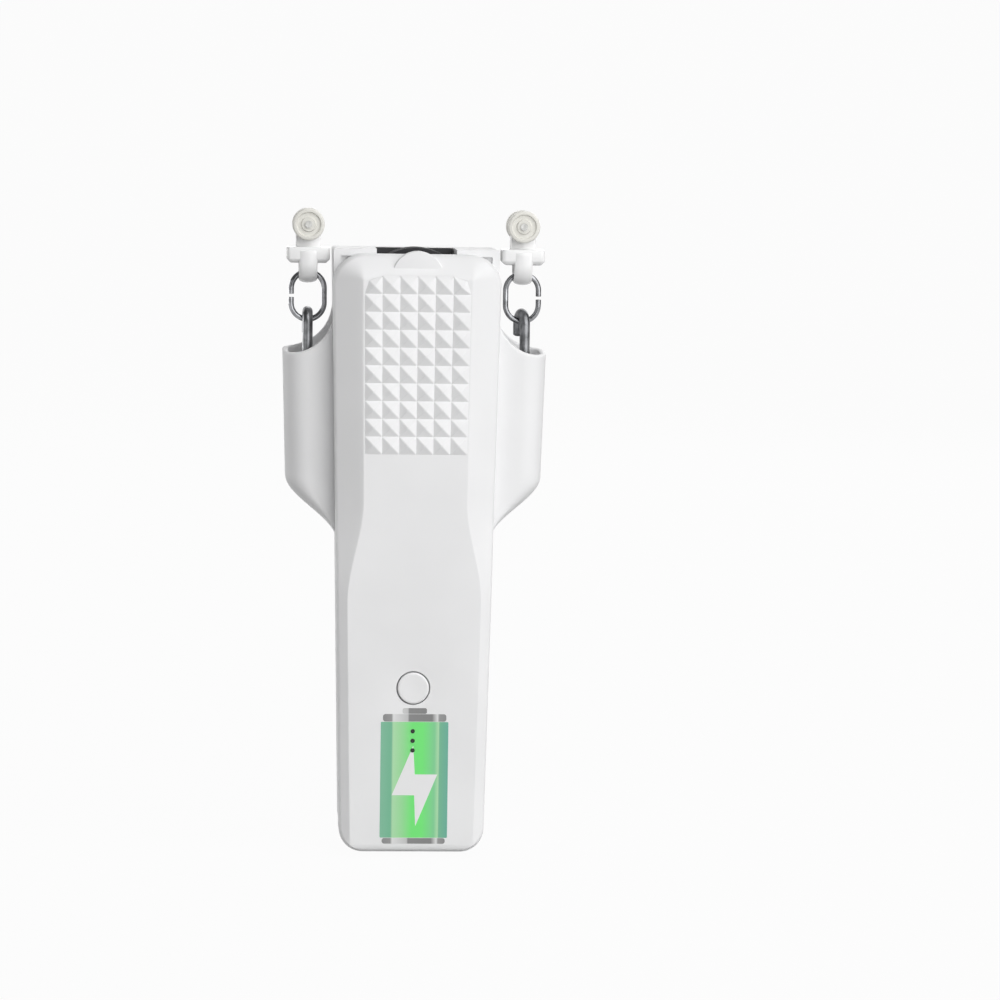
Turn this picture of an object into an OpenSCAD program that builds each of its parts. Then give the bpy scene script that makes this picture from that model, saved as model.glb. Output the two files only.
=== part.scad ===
// Battery driven robot that pulls a curtain along a rail.
// It hangs under the rail on two sprung hooks, and a rubber wheel at its top presses on the rail.
// X runs along the rail, the front faces -Y, +Z is up, and the origin is where the wheel meets the rail.

/* [Body] */
// Distance from the rail down to the foot of the body
body_len = 169; // [167:0.5:185]
// Gap between the rail and the top of the front cover
cover_gap = 1.7; // [1.2:0.1:2.4]
// Gap between the rail and the top of the rear housing
cheek_gap = 0.4; // [0.2:0.1:0.8]
// Width of the front cover at its top
top_w = 47.3; // [46.5:0.1:50]
// Width of the front cover at its foot
foot_w = 40.4; // [39.5:0.1:44]
// Step in from the cover's side to the rear housing's side
rear_step = 0.4; // [0.2:0.1:0.8]
// Depth of the front cover, from the parting plane to its face
cover_depth = 11; // [10.5:0.1:13]
// Depth of the rear housing, from the parting plane to its back
rear_depth = 28; // [27.8:0.1:31]
// Wall of the covers
wall = 2; // [1.6:0.1:2.2]
// Wall behind the front face
face_wall = 3; // [2.4:0.1:3.4]
// Radius of the front cover's top corners
top_r = 8.7; // [6:0.1:11]
// Radius of the corners at the foot
foot_r = 6.7; // [4:0.1:8]
// Radius of the upright edges at the back
back_r = 3.5; // [2.5:0.1:4]

/* [Front face] */
// Width of the raised face at its top
face_w = 30.2; // [30:0.1:32]
// Width of the bevel beside the raised face at the foot
rim_w = 3.1; // [2.4:0.1:4]
// Slope of the bevels beside the raised face
bevel_slope = 0.55; // [0.4:0.05:0.6]
// Distance below the rail where the face starts to widen
flare_top = 70; // [64:0.5:76]
// Distance below the rail where the face has its full width
flare_end = 99; // [92:0.5:106]
// Length of the slope at the top of the face
crown_len = 7; // [5.5:0.1:7.2]
// Length of the rounding at the foot of the face
foot_len = 2.5; // [1.5:0.1:4]
// Radius of the half round thumb tab at the top
tab_r = 7.3; // [6:0.1:8.5]
// Height of the thumb tab
tab_h = 4.8; // [3.5:0.1:5.5]

/* [Grip] */
// Spacing of the grip's pyramids
grip_pitch = 4.95; // [4.4:0.05:5]
// Pyramids across
grip_cols = 6; // [4:1:6]
// Pyramids down
grip_rows = 10; // [6:1:11]
// Height of a pyramid
grip_h = 1.2; // [0.8:0.1:1.6]
// Depth that the grip pad is let into the face
grip_seat = 0.6; // [0.4:0.1:1]
// Distance from the rail down to the grip
grip_drop = 7.6; // [7.6:0.1:10]

/* [Button and lights] */
// Height of the button above the foot
button_rise = 46.5; // [43:0.5:51]
// Radius of the button
button_r = 4.4; // [3.6:0.1:5]
// Travel of the button
button_travel = 0.6; // [0.4:0.1:0.8]
// Height of the middle light above the foot
light_rise = 31.7; // [28:0.1:34]
// Spacing of the lights
light_pitch = 2.7; // [2.4:0.1:3.2]
// Radius of a light's pin
light_r = 0.6; // [0.5:0.05:0.8]

/* [Drive] */
// Gap between the drive wheel and the sides of its fork
wheel_gap = 1.15; // [0.8:0.05:2]
// Width of the drive wheel
wheel_w = 14; // [12:0.1:15]
// Thickness of the rubber tyre
tyre_t = 3.5; // [2.5:0.1:4.5]
// Radius of the drive shaft
shaft_r = 2; // [1.6:0.05:2.3]
// Gap between the gear case and the screw bosses beside it
case_gap = 0.26; // [0.2:0.02:0.8]
// Teeth of the wheel gear
wheel_teeth = 20; // [18:2:22]
// Teeth of the idler gear
idler_teeth = 26; // [22:2:26]
// Teeth of the motor pinion
pinion_teeth = 12; // [10:2:14]
// Thickness of the gears
gear_t = 3.2; // [2.4:0.1:3.6]
// Radius of the motor
motor_r = 12; // [10:0.1:12.5]
// Length of the motor's can
motor_len = 16; // [12:0.1:17]

/* [Battery] */
// Room beside the cradle of the cells, at the foot
cradle_side = 1.25; // [1:0.05:2.5]
// Room below the cells, above the lower screw bosses
cell_room = 10; // [6:0.5:16]

/* [Hooks] */
// Distance of a hook from the side of the cover
hook_side = 6.55; // [6.4:0.05:7.4]
// Radius of the hook's wire
hook_wire = 1.45; // [1.2:0.05:1.5]
// Bend radius of the hook, to the middle of its wire
hook_bend = 3.2; // [2.9:0.1:3.4]
// Distance from the rail down to the top of a hook
hook_drop = 16.9; // [16.2:0.1:18]
// Turn of the right hook about its upright
hook_turn = 13; // [0:1:25]
// Upward travel of a hook against its spring
hook_travel = 6; // [4:0.5:7]
// Radius of the hook spring's wire
spring_wire = 0.4; // [0.3:0.05:0.5]

/* [Side pockets] */
// Reach of a pocket past its hook, at its rim
pocket_out = 7.2; // [6.6:0.05:8.8]
// Depth of a pocket from front to back
pocket_d = 22; // [20:0.1:24]
// Wall of a pocket
pocket_wall = 1.6; // [1.3:0.1:1.8]
// Radius of a pocket's outer edges
pocket_r = 7; // [4:0.1:9]
// Distance from the rail down to the guide shelf
shelf_drop = 41; // [39:0.1:43]
// Thickness of the guide shelf
shelf_t = 2; // [1.5:0.1:2.5]

/* [Chain links and runners] */
// Width of a chain link
link_w = 10.8; // [10:0.1:11.2]
// Radius of a link's wire
link_wire = 0.775; // [0.7:0.025:0.85]
// Gap where a link's wire ends meet
link_slit = 0.7; // [0.4:0.1:1]
// Distance from the rail down to the top of a link
link_drop = 6.5; // [6.3:0.05:6.9]
// Width of a runner's foot along the rail
runner_w = 12.1; // [10:0.1:13]
// Thickness of a runner's foot
runner_h = 4.7; // [4:0.1:4.9]
// Radius of a runner's wheels
roller_r = 4.5; // [4:0.1:5]
// Width of a runner's wheel
roller_w = 3; // [2.4:0.1:3.4]
// Thickness of the rail's lip that the runner's wheels stand on
rail_lip = 1.6; // [1:0.1:2]

/* [Hidden] */
$fn = 48;

// Clearances
fixed_fit = 0.02;
running_fit = 0.05;
loose_fit = 0.3;
eps = 0.1;

// Planes of the body, from front to back
wheel_room = 1.5;
wheel_side = 0.4;
split_y = -(wheel_w / 2 + wheel_room);
least_r = 0.4;
face_y = split_y - cover_depth;
inner_face_y = face_y + face_wall;
back_y = split_y + rear_depth;
inner_back_y = back_y - wall;
cover_top = -cover_gap;
cheek_top = -cheek_gap;
foot_z = -body_len;

// Half the cover's width at a height, with straight sides that draw in towards the foot
function half(z) = top_w / 2 + (foot_w - top_w) / 2 * (cover_top - z) / (cover_top - foot_z);
function clamp01(t) = max(0, min(1, t));
function smooth(t) = t * t * (3 - 2 * t);
function face_half(z) = let (t = smooth(clamp01((-z - flare_top) / (flare_end - flare_top))))
    face_w / top_w * half(z) * (1 - t) + (half(z) - rim_w) * t;
// Drop of a bevel from the face's edge to the cover's side
function bevel_drop(z) = bevel_slope * (half(z) - face_half(z));
// Share of the bevel's height that the face has at distance d from an end rounded over a length
function rounded(d, length) = d >= length ? 1 : sqrt(1 - pow(1 - max(d, 0) / length, 2));
// Share of the bevel's height that the face has at distance d from the top, where it slopes back
function sloped(d) = d >= crown_len ? 1 : 1 - pow(1 - max(d, 0) / crown_len, crown_curve);
function face_rise(z) = min(sloped(cover_top - z), rounded(z - foot_z, foot_len));

function arc(centre, r, from, to, steps = 8) =
    [for (i = [0:steps]) let (a = from + (to - from) * i / steps) centre + r * [cos(a), sin(a)]];

// Outline of the body seen from the front, drawn in by inset
function outline(inset, top, r_top, r_foot) =
    let (rt = max(r_top - inset, least_r), rf = max(r_foot - inset, least_r),
        zt = top - inset, zf = foot_z + inset,
        xt = half(zt - rt) - inset - rt, xf = half(zf + rf) - inset - rf)
    concat(arc([xt, zt - rt], rt, 0, 90), arc([-xt, zt - rt], rt, 90, 180),
        arc([-xf, zf + rf], rf, 180, 270), arc([xf, zf + rf], rf, 270, 360));

// Draws a flat shape in X and Z through the depth from y0 to y1
module along_y(y0, y1) {
    translate([0, y1, 0]) rotate([90, 0, 0]) linear_extrude(y1 - y0) children();
}

module rod_y(x, z, r, y0, y1) {
    along_y(y0, y1) translate([x, z]) circle(r);
}

// Solid through rings of points that lie one above the other, from the top down
module loft(rings) {
    n = len(rings[0]);
    last = len(rings) - 1;
    sides = [for (j = [0:last - 1], i = [0:n - 1], half = [0, 1])
        let (a = j * n + i, b = j * n + (i + 1) % n) half == 0 ? [a, b, b + n] : [a, b + n, a + n]];
    polyhedron(points = [for (ring = rings) each ring],
        faces = concat([[for (i = [n - 1:-1:0]) i]], sides, [[for (i = [0:n - 1]) last * n + i]]));
}

// One level of the cover: straight sides, bevels and the raised face
function cover_ring(z, inset, face_inset, open_y) =
    let (o = half(z) - inset, f = face_half(z) - inset,
        e = face_y + face_inset + bevel_drop(z), y = e - bevel_drop(z) * face_rise(z))
    [[-o, open_y, z], [-o, e, z], [-f, y, z], [f, y, z], [o, e, z], [o, open_y, z]];

quarter = [0, 22.5, 45, 67.5, 90];
crown_curve = 1.4;
crown_steps = 7;
cover_levels = concat([for (i = [0:crown_steps]) cover_top - crown_len * i / crown_steps],
    [for (i = [0:8]) -flare_top - (flare_end - flare_top) * i / 8],
    [for (i = [4:-1:0]) foot_z + foot_len * (1 - cos(quarter[i]))]);

module cover_block(inset, face_inset, open_y) {
    intersection() {
        loft([for (z = cover_levels) cover_ring(z, inset, face_inset, open_y)]);
        along_y(face_y - eps, open_y + eps) polygon(outline(inset, cover_top, top_r, foot_r));
    }
}

// One level of the rear housing, with its upright back edges rounded
function rear_ring(z, inset, open_y) =
    let (x = half(z) - rear_step - inset, y = back_y - inset, r = max(back_r - inset, least_r))
    [for (p = concat([[-x, open_y], [x, open_y]], arc([x - r, y - r], r, 0, 90),
            arc([r - x, y - r], r, 90, 180)))
        [p[0], p[1], z]];

module rear_block(inset, open_y) {
    intersection() {
        along_y(open_y - eps, back_y + eps)
            polygon(outline(rear_step + inset, cheek_top + rear_step, 0, foot_r));
        loft([for (z = [cheek_top + eps, foot_z - eps]) rear_ring(z, inset, open_y)]);
    }
}

// Screws that hold the two covers together, from the back
boss_r = 2.9;
screw_r = 1.2;
screw_head_r = 2.4;
screw_head_t = 2;
screw_bite = 5.5;
head_recess = 2.6;
tip_gap = 0.5;
boss_drop = 40;
boss_web = 1.5;
boss_side = boss_r + boss_web;
boss_corner = 6.7;
boss_lift = 8;
boss_upper = [half(-boss_drop) - boss_side, -boss_drop];
boss_lower = [half(foot_z) - boss_corner, foot_z + boss_lift];
boss_places = [for (p = [boss_upper, boss_lower], s = [-1, 1]) [s * p[0], p[1]]];

// Board and what stands on it
board_set = 1.9;
board_t = 1.6;
board_y = split_y + board_set;
board_back = board_y + board_t;
board_half = 15.5;
board_neck = 9;
board_post_r = 2.2;
board_screw_r = 0.9;
board_head_r = 1.8;
board_head_t = 1.2;
board_bite = 5;
board_rise = 6;
post_side = 3.2;
post_end = 5;
neck_room = 1;

// Drive train, one shaft under the other
lid_y = wheel_w / 2 + wheel_side;
lid_t = 1.6;
gear_side = 0.6;
gear_y = lid_y + lid_t + gear_side;
case_floor = 2.5;
case_wall = 1.1;
case_rim = 1;
tip_room = 0.4;
bore_skin = 0.5;
shaft_room = 1;
gear_head_len = 5;
gear_head_floor = 1;
bush_r = 4;
idler_pin_r = 1.5;
motor_shaft_r = 1.5;
addendum = 0.8;
dedendum = 1.1;
pressure = 25;
backlash = 0.16;
fork_room = 1.7;
fork_side = 2.4;
fork_out = top_w / 2 - rear_step - wall - fork_room;
fork_in = fork_out - fork_side;
wheel_r = fork_in - wheel_gap;
wheel_z = -wheel_r;
case_half = boss_upper[0] - boss_r - case_gap;
gear_module = (case_half - case_wall - tip_room) / (idler_teeth / 2 + addendum);
idler_z = wheel_z - gear_module * (wheel_teeth + idler_teeth) / 2;
pinion_z = idler_z - gear_module * (idler_teeth + pinion_teeth) / 2;
case_top = wheel_z + gear_module * (wheel_teeth / 2 + addendum) + tip_room + case_wall;
case_foot = pinion_z - motor_r - case_rim;
gear_head_y = lid_y - gear_head_len;
motor_y = gear_head_y - motor_len;

// Cells below the motor, held in a cradle on the back wall
cradle_floor = 1;
cell_gap = 0.5;
cradle_half = foot_w / 2 - rear_step - wall - cradle_side;
cell_r = (cradle_half - loose_fit - cell_gap / 2) / 2;
cell_y = inner_back_y - cradle_floor - cell_r - running_fit;
cell_x = cell_r + cell_gap / 2;
contact_t = 0.6;
contact_rim = 2;
cradle_end = 1.5;
wire_room = 10;
cell_top = case_foot - cradle_end - contact_t - wire_room;
cell_foot = boss_lower[1] + boss_r + cell_room;
cell_len = cell_top - cell_foot;
board_top = cell_top + board_rise;
board_foot = foot_z + wall + 2 * loose_fit;
neck_top = boss_lower[1] + boss_r + neck_room;
button_z = foot_z + button_rise;
light_z = foot_z + light_rise;
light_places = [for (i = [-1, 0, 1]) light_z + i * light_pitch];
board_places = [for (s = [-1, 1], z = [board_top - post_end, neck_top + post_end])
    [s * (board_half - post_side), z]];

// Pockets at the sides
hook_x = top_w / 2 + hook_side;
pocket_x = hook_x + pocket_out;
pocket_front = split_y + loose_fit;
pocket_back = pocket_front + pocket_d;
pocket_draw = 1.1;
draft_top = -28;
pocket_turn = -64.5;
pocket_end = -82.5;
scallop_r = 12.7;
scallop_side = 1.65;
scallop_x = pocket_x - scallop_side;
scallop_z = -17;
scallop_lift = 0.55;
scallop_tilt = 4;
shelf_z = -shelf_drop;
spring_top = shelf_z - shelf_t;
nut_t = 3;
nut_r = 3.2;
thread_out = 0.5;
spring_turns = 6;
spring_spare = 3.9;
spring_len = hook_travel + 2 * spring_wire * (spring_turns + 1) + spring_spare;
nut_top = spring_top - spring_len;

// Hook, link and runner
hook_top = -hook_drop - hook_wire;
hook_tip = 3.5;
hook_end = nut_top - nut_t - thread_out;
link_r = link_w / 2 - link_wire;
link_bar = hook_top - hook_wire - link_wire - running_fit;
link_top = -link_drop - link_wire;
strap_t = 2;
link_play = 0.3;
strap_half = 2.6;
strap_mid = link_top - link_wire - link_play - strap_t / 2;
strap_bend = 4.5;
runner_d = 10;
neck_w = 7;
neck_d = 5;
roller_z = rail_lip + roller_r;
roller_axle_r = 1;

// Half the reach of a pocket at a height: a slight draft, then a flowing line back to the body
function pocket_half(z) =
    let (d = pocket_x - pocket_draw * clamp01((draft_top - z) / (draft_top - pocket_turn)),
        t = smooth(clamp01((pocket_turn - z) / (pocket_turn - pocket_end))))
    d * (1 - t) + (half(pocket_end) - rear_step) * t;

// Points of one involute tooth, from its root up one flank and down the other
function involute(a) = tan(a) - a * PI / 180;
function tooth(n, at) =
    let (rp = n * gear_module / 2, rb = rp * cos(pressure), ra = rp + addendum * gear_module,
        rr = rp - dedendum * gear_module, r0 = max(rb, rr), steps = 5,
        at_pitch = 90 / n - backlash / 2 / rp * 180 / PI + involute(pressure) * 180 / PI,
        radii = [for (i = [0:steps]) r0 + (ra - r0) * i / steps],
        lean = [for (r = radii) at_pitch - involute(acos(min(1, rb / r))) * 180 / PI])
    concat([rr * [cos(at - lean[0]), sin(at - lean[0])]],
        [for (i = [0:steps]) radii[i] * [cos(at - lean[i]), sin(at - lean[i])]],
        [for (i = [steps:-1:0]) radii[i] * [cos(at + lean[i]), sin(at + lean[i])]],
        [rr * [cos(at + lean[0]), sin(at + lean[0])]]);

// Spur gear on a shaft along Y, with a hub on both sides
module spur(n, z, first, bore, hub_r, hub_y0, hub_y1) {
    difference() {
        union() {
            along_y(gear_y, gear_y + gear_t) translate([0, z])
                polygon([for (i = [0:n - 1]) each tooth(n, first + i * 360 / n)]);
            rod_y(0, z, hub_r, hub_y0, hub_y1);
        }
        rod_y(0, z, bore, hub_y0 - eps, hub_y1 + eps);
    }
}

// Half round tab whose flat front runs out into the slope at the top of the face
module thumb_tab() {
    along_y(tab_y, face_y + tab_root) intersection() {
        translate([0, tab_top - tab_r]) circle(tab_r);
        translate([-tab_r, tab_foot - tab_sink]) square([2 * tab_r, tab_h + tab_sink]);
    }
}

module front_cover() {
    color("white") difference() {
        union() {
            difference() {
                union() {
                    cover_block(0, 0, split_y);
                    thumb_tab();
                }
                cover_block(wall, face_wall, split_y + eps);
            }
            intersection() {
                union() {
                    for (p = boss_places) rod_y(p[0], p[1], boss_r, face_y, split_y);
                    for (p = board_places) rod_y(p[0], p[1], board_post_r, face_y, board_y);
                }
                cover_block(wall / 2, face_wall / 2, board_y + eps);
            }
        }
        grip_recess();
        rod_y(0, button_z, button_r + loose_fit, face_y - eps, inner_face_y + eps);
        for (z = light_places) rod_y(0, z, light_r + running_fit, face_y - eps, inner_face_y + eps);
        for (p = boss_places)
            rod_y(p[0], p[1], screw_r + fixed_fit, split_y - screw_bite - tip_gap, split_y + eps);
        for (p = board_places)
            rod_y(p[0], p[1], board_screw_r + fixed_fit, board_y - board_bite - tip_gap, board_y + eps);
    }
}

tab_up = 1;
tab_top = cover_top + tab_up;
tab_foot = tab_top - tab_h;
tab_sink = 1;
tab_y = face_y + bevel_drop(tab_foot) * (1 - face_rise(tab_foot));
tab_root = 5.8;
grip_len = grip_rows * grip_pitch;
grip_cut = grip_pitch / 4;

// Place across the grip, whose columns draw in with the sides of the body
function grip_x(i, j) =
    (i - grip_cols / 2) * grip_pitch * half(-grip_drop - j * grip_pitch) / half(-grip_drop);

// Valley point of the grip, where the two top corners are drawn in
function grip_corner(i, j) = let (cut = j == 0 && (i == 0 || i == grip_cols) ? grip_cut : 0)
    [grip_x(i, j) + (i == 0 ? cut : -cut), -grip_drop - j * grip_pitch - cut];

// Steps round the border of the grip's grid, as [column, row]
grip_border = concat([for (i = [0:grip_cols - 1]) [i, 0]], [for (j = [0:grip_rows - 1]) [grip_cols, j]],
    [for (i = [grip_cols:-1:1]) [i, grip_rows]], [for (j = [grip_rows:-1:1]) [0, j]]);

// Pyramids as one closed surface: a grid of valley points with a peak in each cell, over a flat seat
module grip_pad() {
    across = grip_cols + 1;
    valley = [for (j = [0:grip_rows], i = [0:grip_cols])
        let (p = grip_corner(i, j)) [p[0], face_y, p[1]]];
    peaks = [for (j = [0:grip_rows - 1], i = [0:grip_cols - 1])
        [grip_x(i + 0.5, j + 0.5), face_y - grip_h, -grip_drop - (j + 0.5) * grip_pitch]];
    seat = [for (b = grip_border) let (p = grip_corner(b[0], b[1])) [p[0], face_y + grip_seat, p[1]]];
    first_peak = len(valley);
    first_seat = first_peak + len(peaks);
    n = len(seat);
    middle = first_seat + n;
    slopes = [for (j = [0:grip_rows - 1], i = [0:grip_cols - 1])
        let (a = j * across + i, b = a + 1, c = b + across, d = a + across,
            p = first_peak + j * grip_cols + i)
        each [[a, b, p], [b, c, p], [c, d, p], [d, a, p]]];
    sides = [for (k = [0:n - 1])
        let (next = (k + 1) % n, a = grip_border[k], b = grip_border[next], low = first_seat + k,
            after = first_seat + next, here = a[1] * across + a[0], there = b[1] * across + b[0])
        each [[there, here, low], [there, low, after], [after, low, middle]]];
    color("whitesmoke") polyhedron(points = concat(valley, peaks, seat,
        [[0, face_y + grip_seat, -grip_drop - grip_len / 2]]), faces = concat(slopes, sides));
}

// Recess in the front face for the grip pad
module grip_recess() {
    along_y(face_y - eps, face_y + grip_seat)
        polygon([for (b = grip_border) let (p = grip_corner(b[0], b[1]))
            [p[0] + sign(p[0]) * fixed_fit, p[1] + (b[1] == 0 ? fixed_fit : -fixed_fit)]]);
}

usb_w = 9;
usb_h = 3.2;
usb_y = board_back + usb_h / 2;
usb_depth = 6.4;
usb_play = 0.2;
usb_shell = 0.35;
usb_back = 1;
tongue_w = 6.6;
tongue_t = 0.7;
tongue_set = 1;

// Slot with round ends, seen along Z
module usb_slot(grow) {
    r = usb_h / 2 + grow;
    translate([0, usb_y]) union() {
        square([usb_w - usb_h, 2 * r], center = true);
        for (s = [-1, 1]) translate([s * (usb_w - usb_h) / 2, 0]) circle(r);
    }
}

// Slot in the top for the drive wheel, closed in the two corners by the housing's shoulders
slot_half = 11.2;
slot_end = lid_y + lid_t + loose_fit;

module rear_housing() {
    color("white") difference() {
        union() {
            difference() {
                rear_block(0, split_y);
                rear_block(wall, split_y - eps);
            }
            along_y(split_y, split_y + wall) difference() {
                polygon(outline(rear_step + eps, cheek_top + rear_step, 0, foot_r));
                polygon(outline(wall, cover_top, top_r, foot_r));
            }
            intersection() {
                for (p = boss_places) rod_y(p[0], p[1], boss_r, split_y, back_y);
                rear_block(wall / 2, split_y);
            }
        }
        translate([-slot_half, split_y - eps, cover_top - wall - eps])
            cube([2 * slot_half, slot_end - split_y + eps, cheek_top - cover_top + wall + 2 * eps]);
        for (p = boss_places) {
            rod_y(p[0], p[1], screw_r + running_fit, split_y - eps, back_y + eps);
            rod_y(p[0], p[1], screw_head_r + running_fit, back_y - head_recess, back_y + eps);
        }
        translate([0, 0, foot_z - eps]) linear_extrude(wall + rear_step + 2 * eps) usb_slot(usb_play);
    }
}

module cover_screws() {
    color("silver") for (p = boss_places) union() {
        rod_y(p[0], p[1], screw_head_r, back_y - head_recess, back_y - head_recess + screw_head_t);
        rod_y(p[0], p[1], screw_r, split_y - screw_bite, back_y - head_recess + eps);
    }
}

// Front view of a pocket on the left, drawn in by inset
module pocket_profile(inset) {
    levels = [for (i = [0:10]) pocket_turn + (pocket_end - pocket_turn) * i / 10];
    top = scallop_z;
    polygon(concat([[0, top], [inset - pocket_half(top), top]],
        [for (z = levels) [inset - pocket_half(z), z + inset]], [[0, pocket_end + inset]]));
}

// Plan of a pocket on the left, drawn in by inset
module pocket_plan(inset) {
    r = pocket_r - inset;
    x = inset - pocket_x;
    y0 = pocket_front + inset;
    y1 = pocket_back - inset;
    polygon(concat([[0, y1]], arc([x + r, y1 - r], r, 90, 180),
        arc([x + r, y0 + r], r, 180, 270), [[0, y0]]));
}

module pocket_block(inset) {
    intersection() {
        along_y(pocket_front - eps, pocket_back + eps) pocket_profile(inset);
        translate([0, 0, pocket_end - eps])
            linear_extrude(scallop_z - pocket_end + 2 * eps) pocket_plan(inset);
    }
}

// Where a hook's upright stands, on the left or the right
function hook_place(side) = let (turn = side > 0 ? hook_turn : 0)
    [side * hook_x + hook_bend * sin(turn), -hook_bend * cos(turn)];

module pocket(place) {
    difference() {
        pocket_block(0);
        difference() {
            pocket_block(pocket_wall);
            translate([-pocket_x, pocket_front, spring_top]) cube([pocket_x, pocket_d, shelf_t]);
        }
        translate([-scallop_x, (pocket_front + pocket_back) / 2, scallop_z + scallop_lift])
            rotate([90 + scallop_tilt, 0, 0]) cylinder(h = 2 * pocket_d, r = scallop_r, center = true);
        rear_block(0, split_y);
        translate([place[0], place[1], spring_top - eps])
            cylinder(h = shelf_t + 2 * eps, r = hook_wire + running_fit);
    }
}

module pocket_left() {
    color("white") pocket(hook_place(-1));
}

module pocket_right() {
    place = hook_place(1);
    color("white") mirror([1, 0, 0]) pocket([-place[0], place[1]]);
}

button_flange = 1.2;
button_lip = 1.2;
button_stem_r = 1.5;
button_proud = 0.5;
tact_w = 6;
tact_h = 3.5;
tact_stem = 0.8;
tact_stem_r = 1.7;
tact_y = board_y - tact_h;
tact_tip = tact_y - tact_stem;

module button() {
    color("white") union() {
        rod_y(0, button_z, button_r, face_y - button_proud, inner_face_y + eps);
        rod_y(0, button_z, button_r + button_lip, inner_face_y, inner_face_y + button_flange);
        rod_y(0, button_z, button_stem_r, inner_face_y + button_flange - eps,
            tact_tip - button_travel - running_fit);
    }
}

module tact_switch() {
    color("dimgray") union() {
        along_y(tact_y, board_y) translate([0, button_z]) square(tact_w, center = true);
        rod_y(0, button_z, tact_stem_r, tact_tip, tact_y + eps);
    }
}

led_t = 1;
led_w = 1.6;
led_h = 0.8;
pipe_bar = 1.6;
pipe_rim = 1;
pipe_foot = 0.2;
light_proud = 0.15;

module light_pipe() {
    color("gray") union() {
        along_y(inner_face_y, inner_face_y + pipe_bar) translate([0, light_z])
            square(2 * [light_r + pipe_rim, light_pitch + light_r + pipe_rim], center = true);
        for (z = light_places) {
            rod_y(0, z, light_r, face_y - light_proud, inner_face_y + eps);
            rod_y(0, z, light_r + pipe_foot, inner_face_y + pipe_bar - eps, board_y - led_t - loose_fit);
        }
    }
}

module status_leds() {
    color("palegreen") for (z = light_places)
        along_y(board_y - led_t, board_y) translate([0, z]) square([led_w, led_h], center = true);
}

module main_board() {
    color("seagreen") difference() {
        along_y(board_y, board_back) polygon([[-board_half, board_top], [board_half, board_top],
            [board_half, neck_top], [board_neck, neck_top], [board_neck, board_foot],
            [-board_neck, board_foot], [-board_neck, neck_top], [-board_half, neck_top]]);
        for (p = board_places)
            rod_y(p[0], p[1], board_screw_r + loose_fit, board_y - eps, board_back + eps);
    }
}

radio_w = 14;
radio_len = 18;
radio_t = 2.2;
radio_drop = 4;

module radio_module() {
    color("silver") along_y(board_y - radio_t, board_y)
        translate([-radio_w / 2, board_top - radio_drop - radio_len]) square([radio_w, radio_len]);
}

module board_screws() {
    color("silver") for (p = board_places) union() {
        rod_y(p[0], p[1], board_head_r, board_back, board_back + board_head_t);
        rod_y(p[0], p[1], board_screw_r, board_y - board_bite, board_back + eps);
    }
}

module usb_socket() {
    color("silver") translate([0, 0, foot_z + rear_step]) union() {
        difference() {
            linear_extrude(usb_depth + usb_back) usb_slot(0);
            translate([0, 0, -eps]) linear_extrude(usb_depth + eps) usb_slot(-usb_shell);
        }
        translate([-tongue_w / 2, usb_y - tongue_t / 2, tongue_set]) cube([tongue_w, tongue_t, usb_depth]);
    }
}

module battery_cells() {
    color("royalblue") for (s = [-1, 1])
        translate([s * cell_x, cell_y, cell_foot]) cylinder(h = cell_len, r = cell_r);
}

module battery_cradle() {
    low = cell_foot - contact_t;
    high = cell_top + contact_t;
    color("dimgray") difference() {
        translate([-cradle_half, cell_y - cell_r / 2, low - cradle_end])
            cube([2 * cradle_half, inner_back_y - cell_y + cell_r / 2, high - low + 2 * cradle_end]);
        translate([-cradle_half - eps, cell_y - cell_r, low])
            cube([2 * cradle_half + 2 * eps, cell_r, high - low]);
        for (s = [-1, 1]) translate([s * cell_x, cell_y, low])
            cylinder(h = high - low, r = cell_r + running_fit);
    }
}

module cell_contacts() {
    color("gold") for (z = [cell_top, cell_foot - contact_t])
        translate([0, 0, z]) linear_extrude(contact_t) union() {
            for (s = [-1, 1]) translate([s * cell_x, cell_y]) circle(cell_r - contact_rim);
            if (z == cell_top) translate([-cell_x, cell_y - cell_r / 2])
                square([2 * cell_x, cell_r / 2 - eps]);
        }
}

fork_up = 7;
fork_down = 13;
hub_boss = 1.2;
fork_top = wheel_z + fork_up;
fork_foot = wheel_z - fork_down;
fork_y = -(wheel_w / 2 + hub_boss + wheel_side);
fork_t = 3;
fork_screw_r = 0.8;
fork_screw_x = (fork_in + fork_out) / 2;
fork_screw_pitch = 9;
fork_bite = 5.5;
fork_head_t = 1;
fork_screw_z = [wheel_z, wheel_z - fork_screw_pitch];

module gear_case_plan(inset) {
    translate([inset - case_half, case_foot + inset])
        square([2 * case_half - 2 * inset, case_top - case_foot - 2 * inset]);
}

module gear_case() {
    floor_y = inner_back_y - case_floor;
    color("gainsboro") difference() {
        along_y(lid_y + lid_t, inner_back_y) gear_case_plan(0);
        along_y(lid_y + lid_t - eps, floor_y) gear_case_plan(case_wall);
        rod_y(0, wheel_z, bush_r + fixed_fit, floor_y - eps, inner_back_y - bore_skin);
        rod_y(0, idler_z, idler_pin_r + fixed_fit, floor_y - eps, inner_back_y - bore_skin);
    }
}

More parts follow.
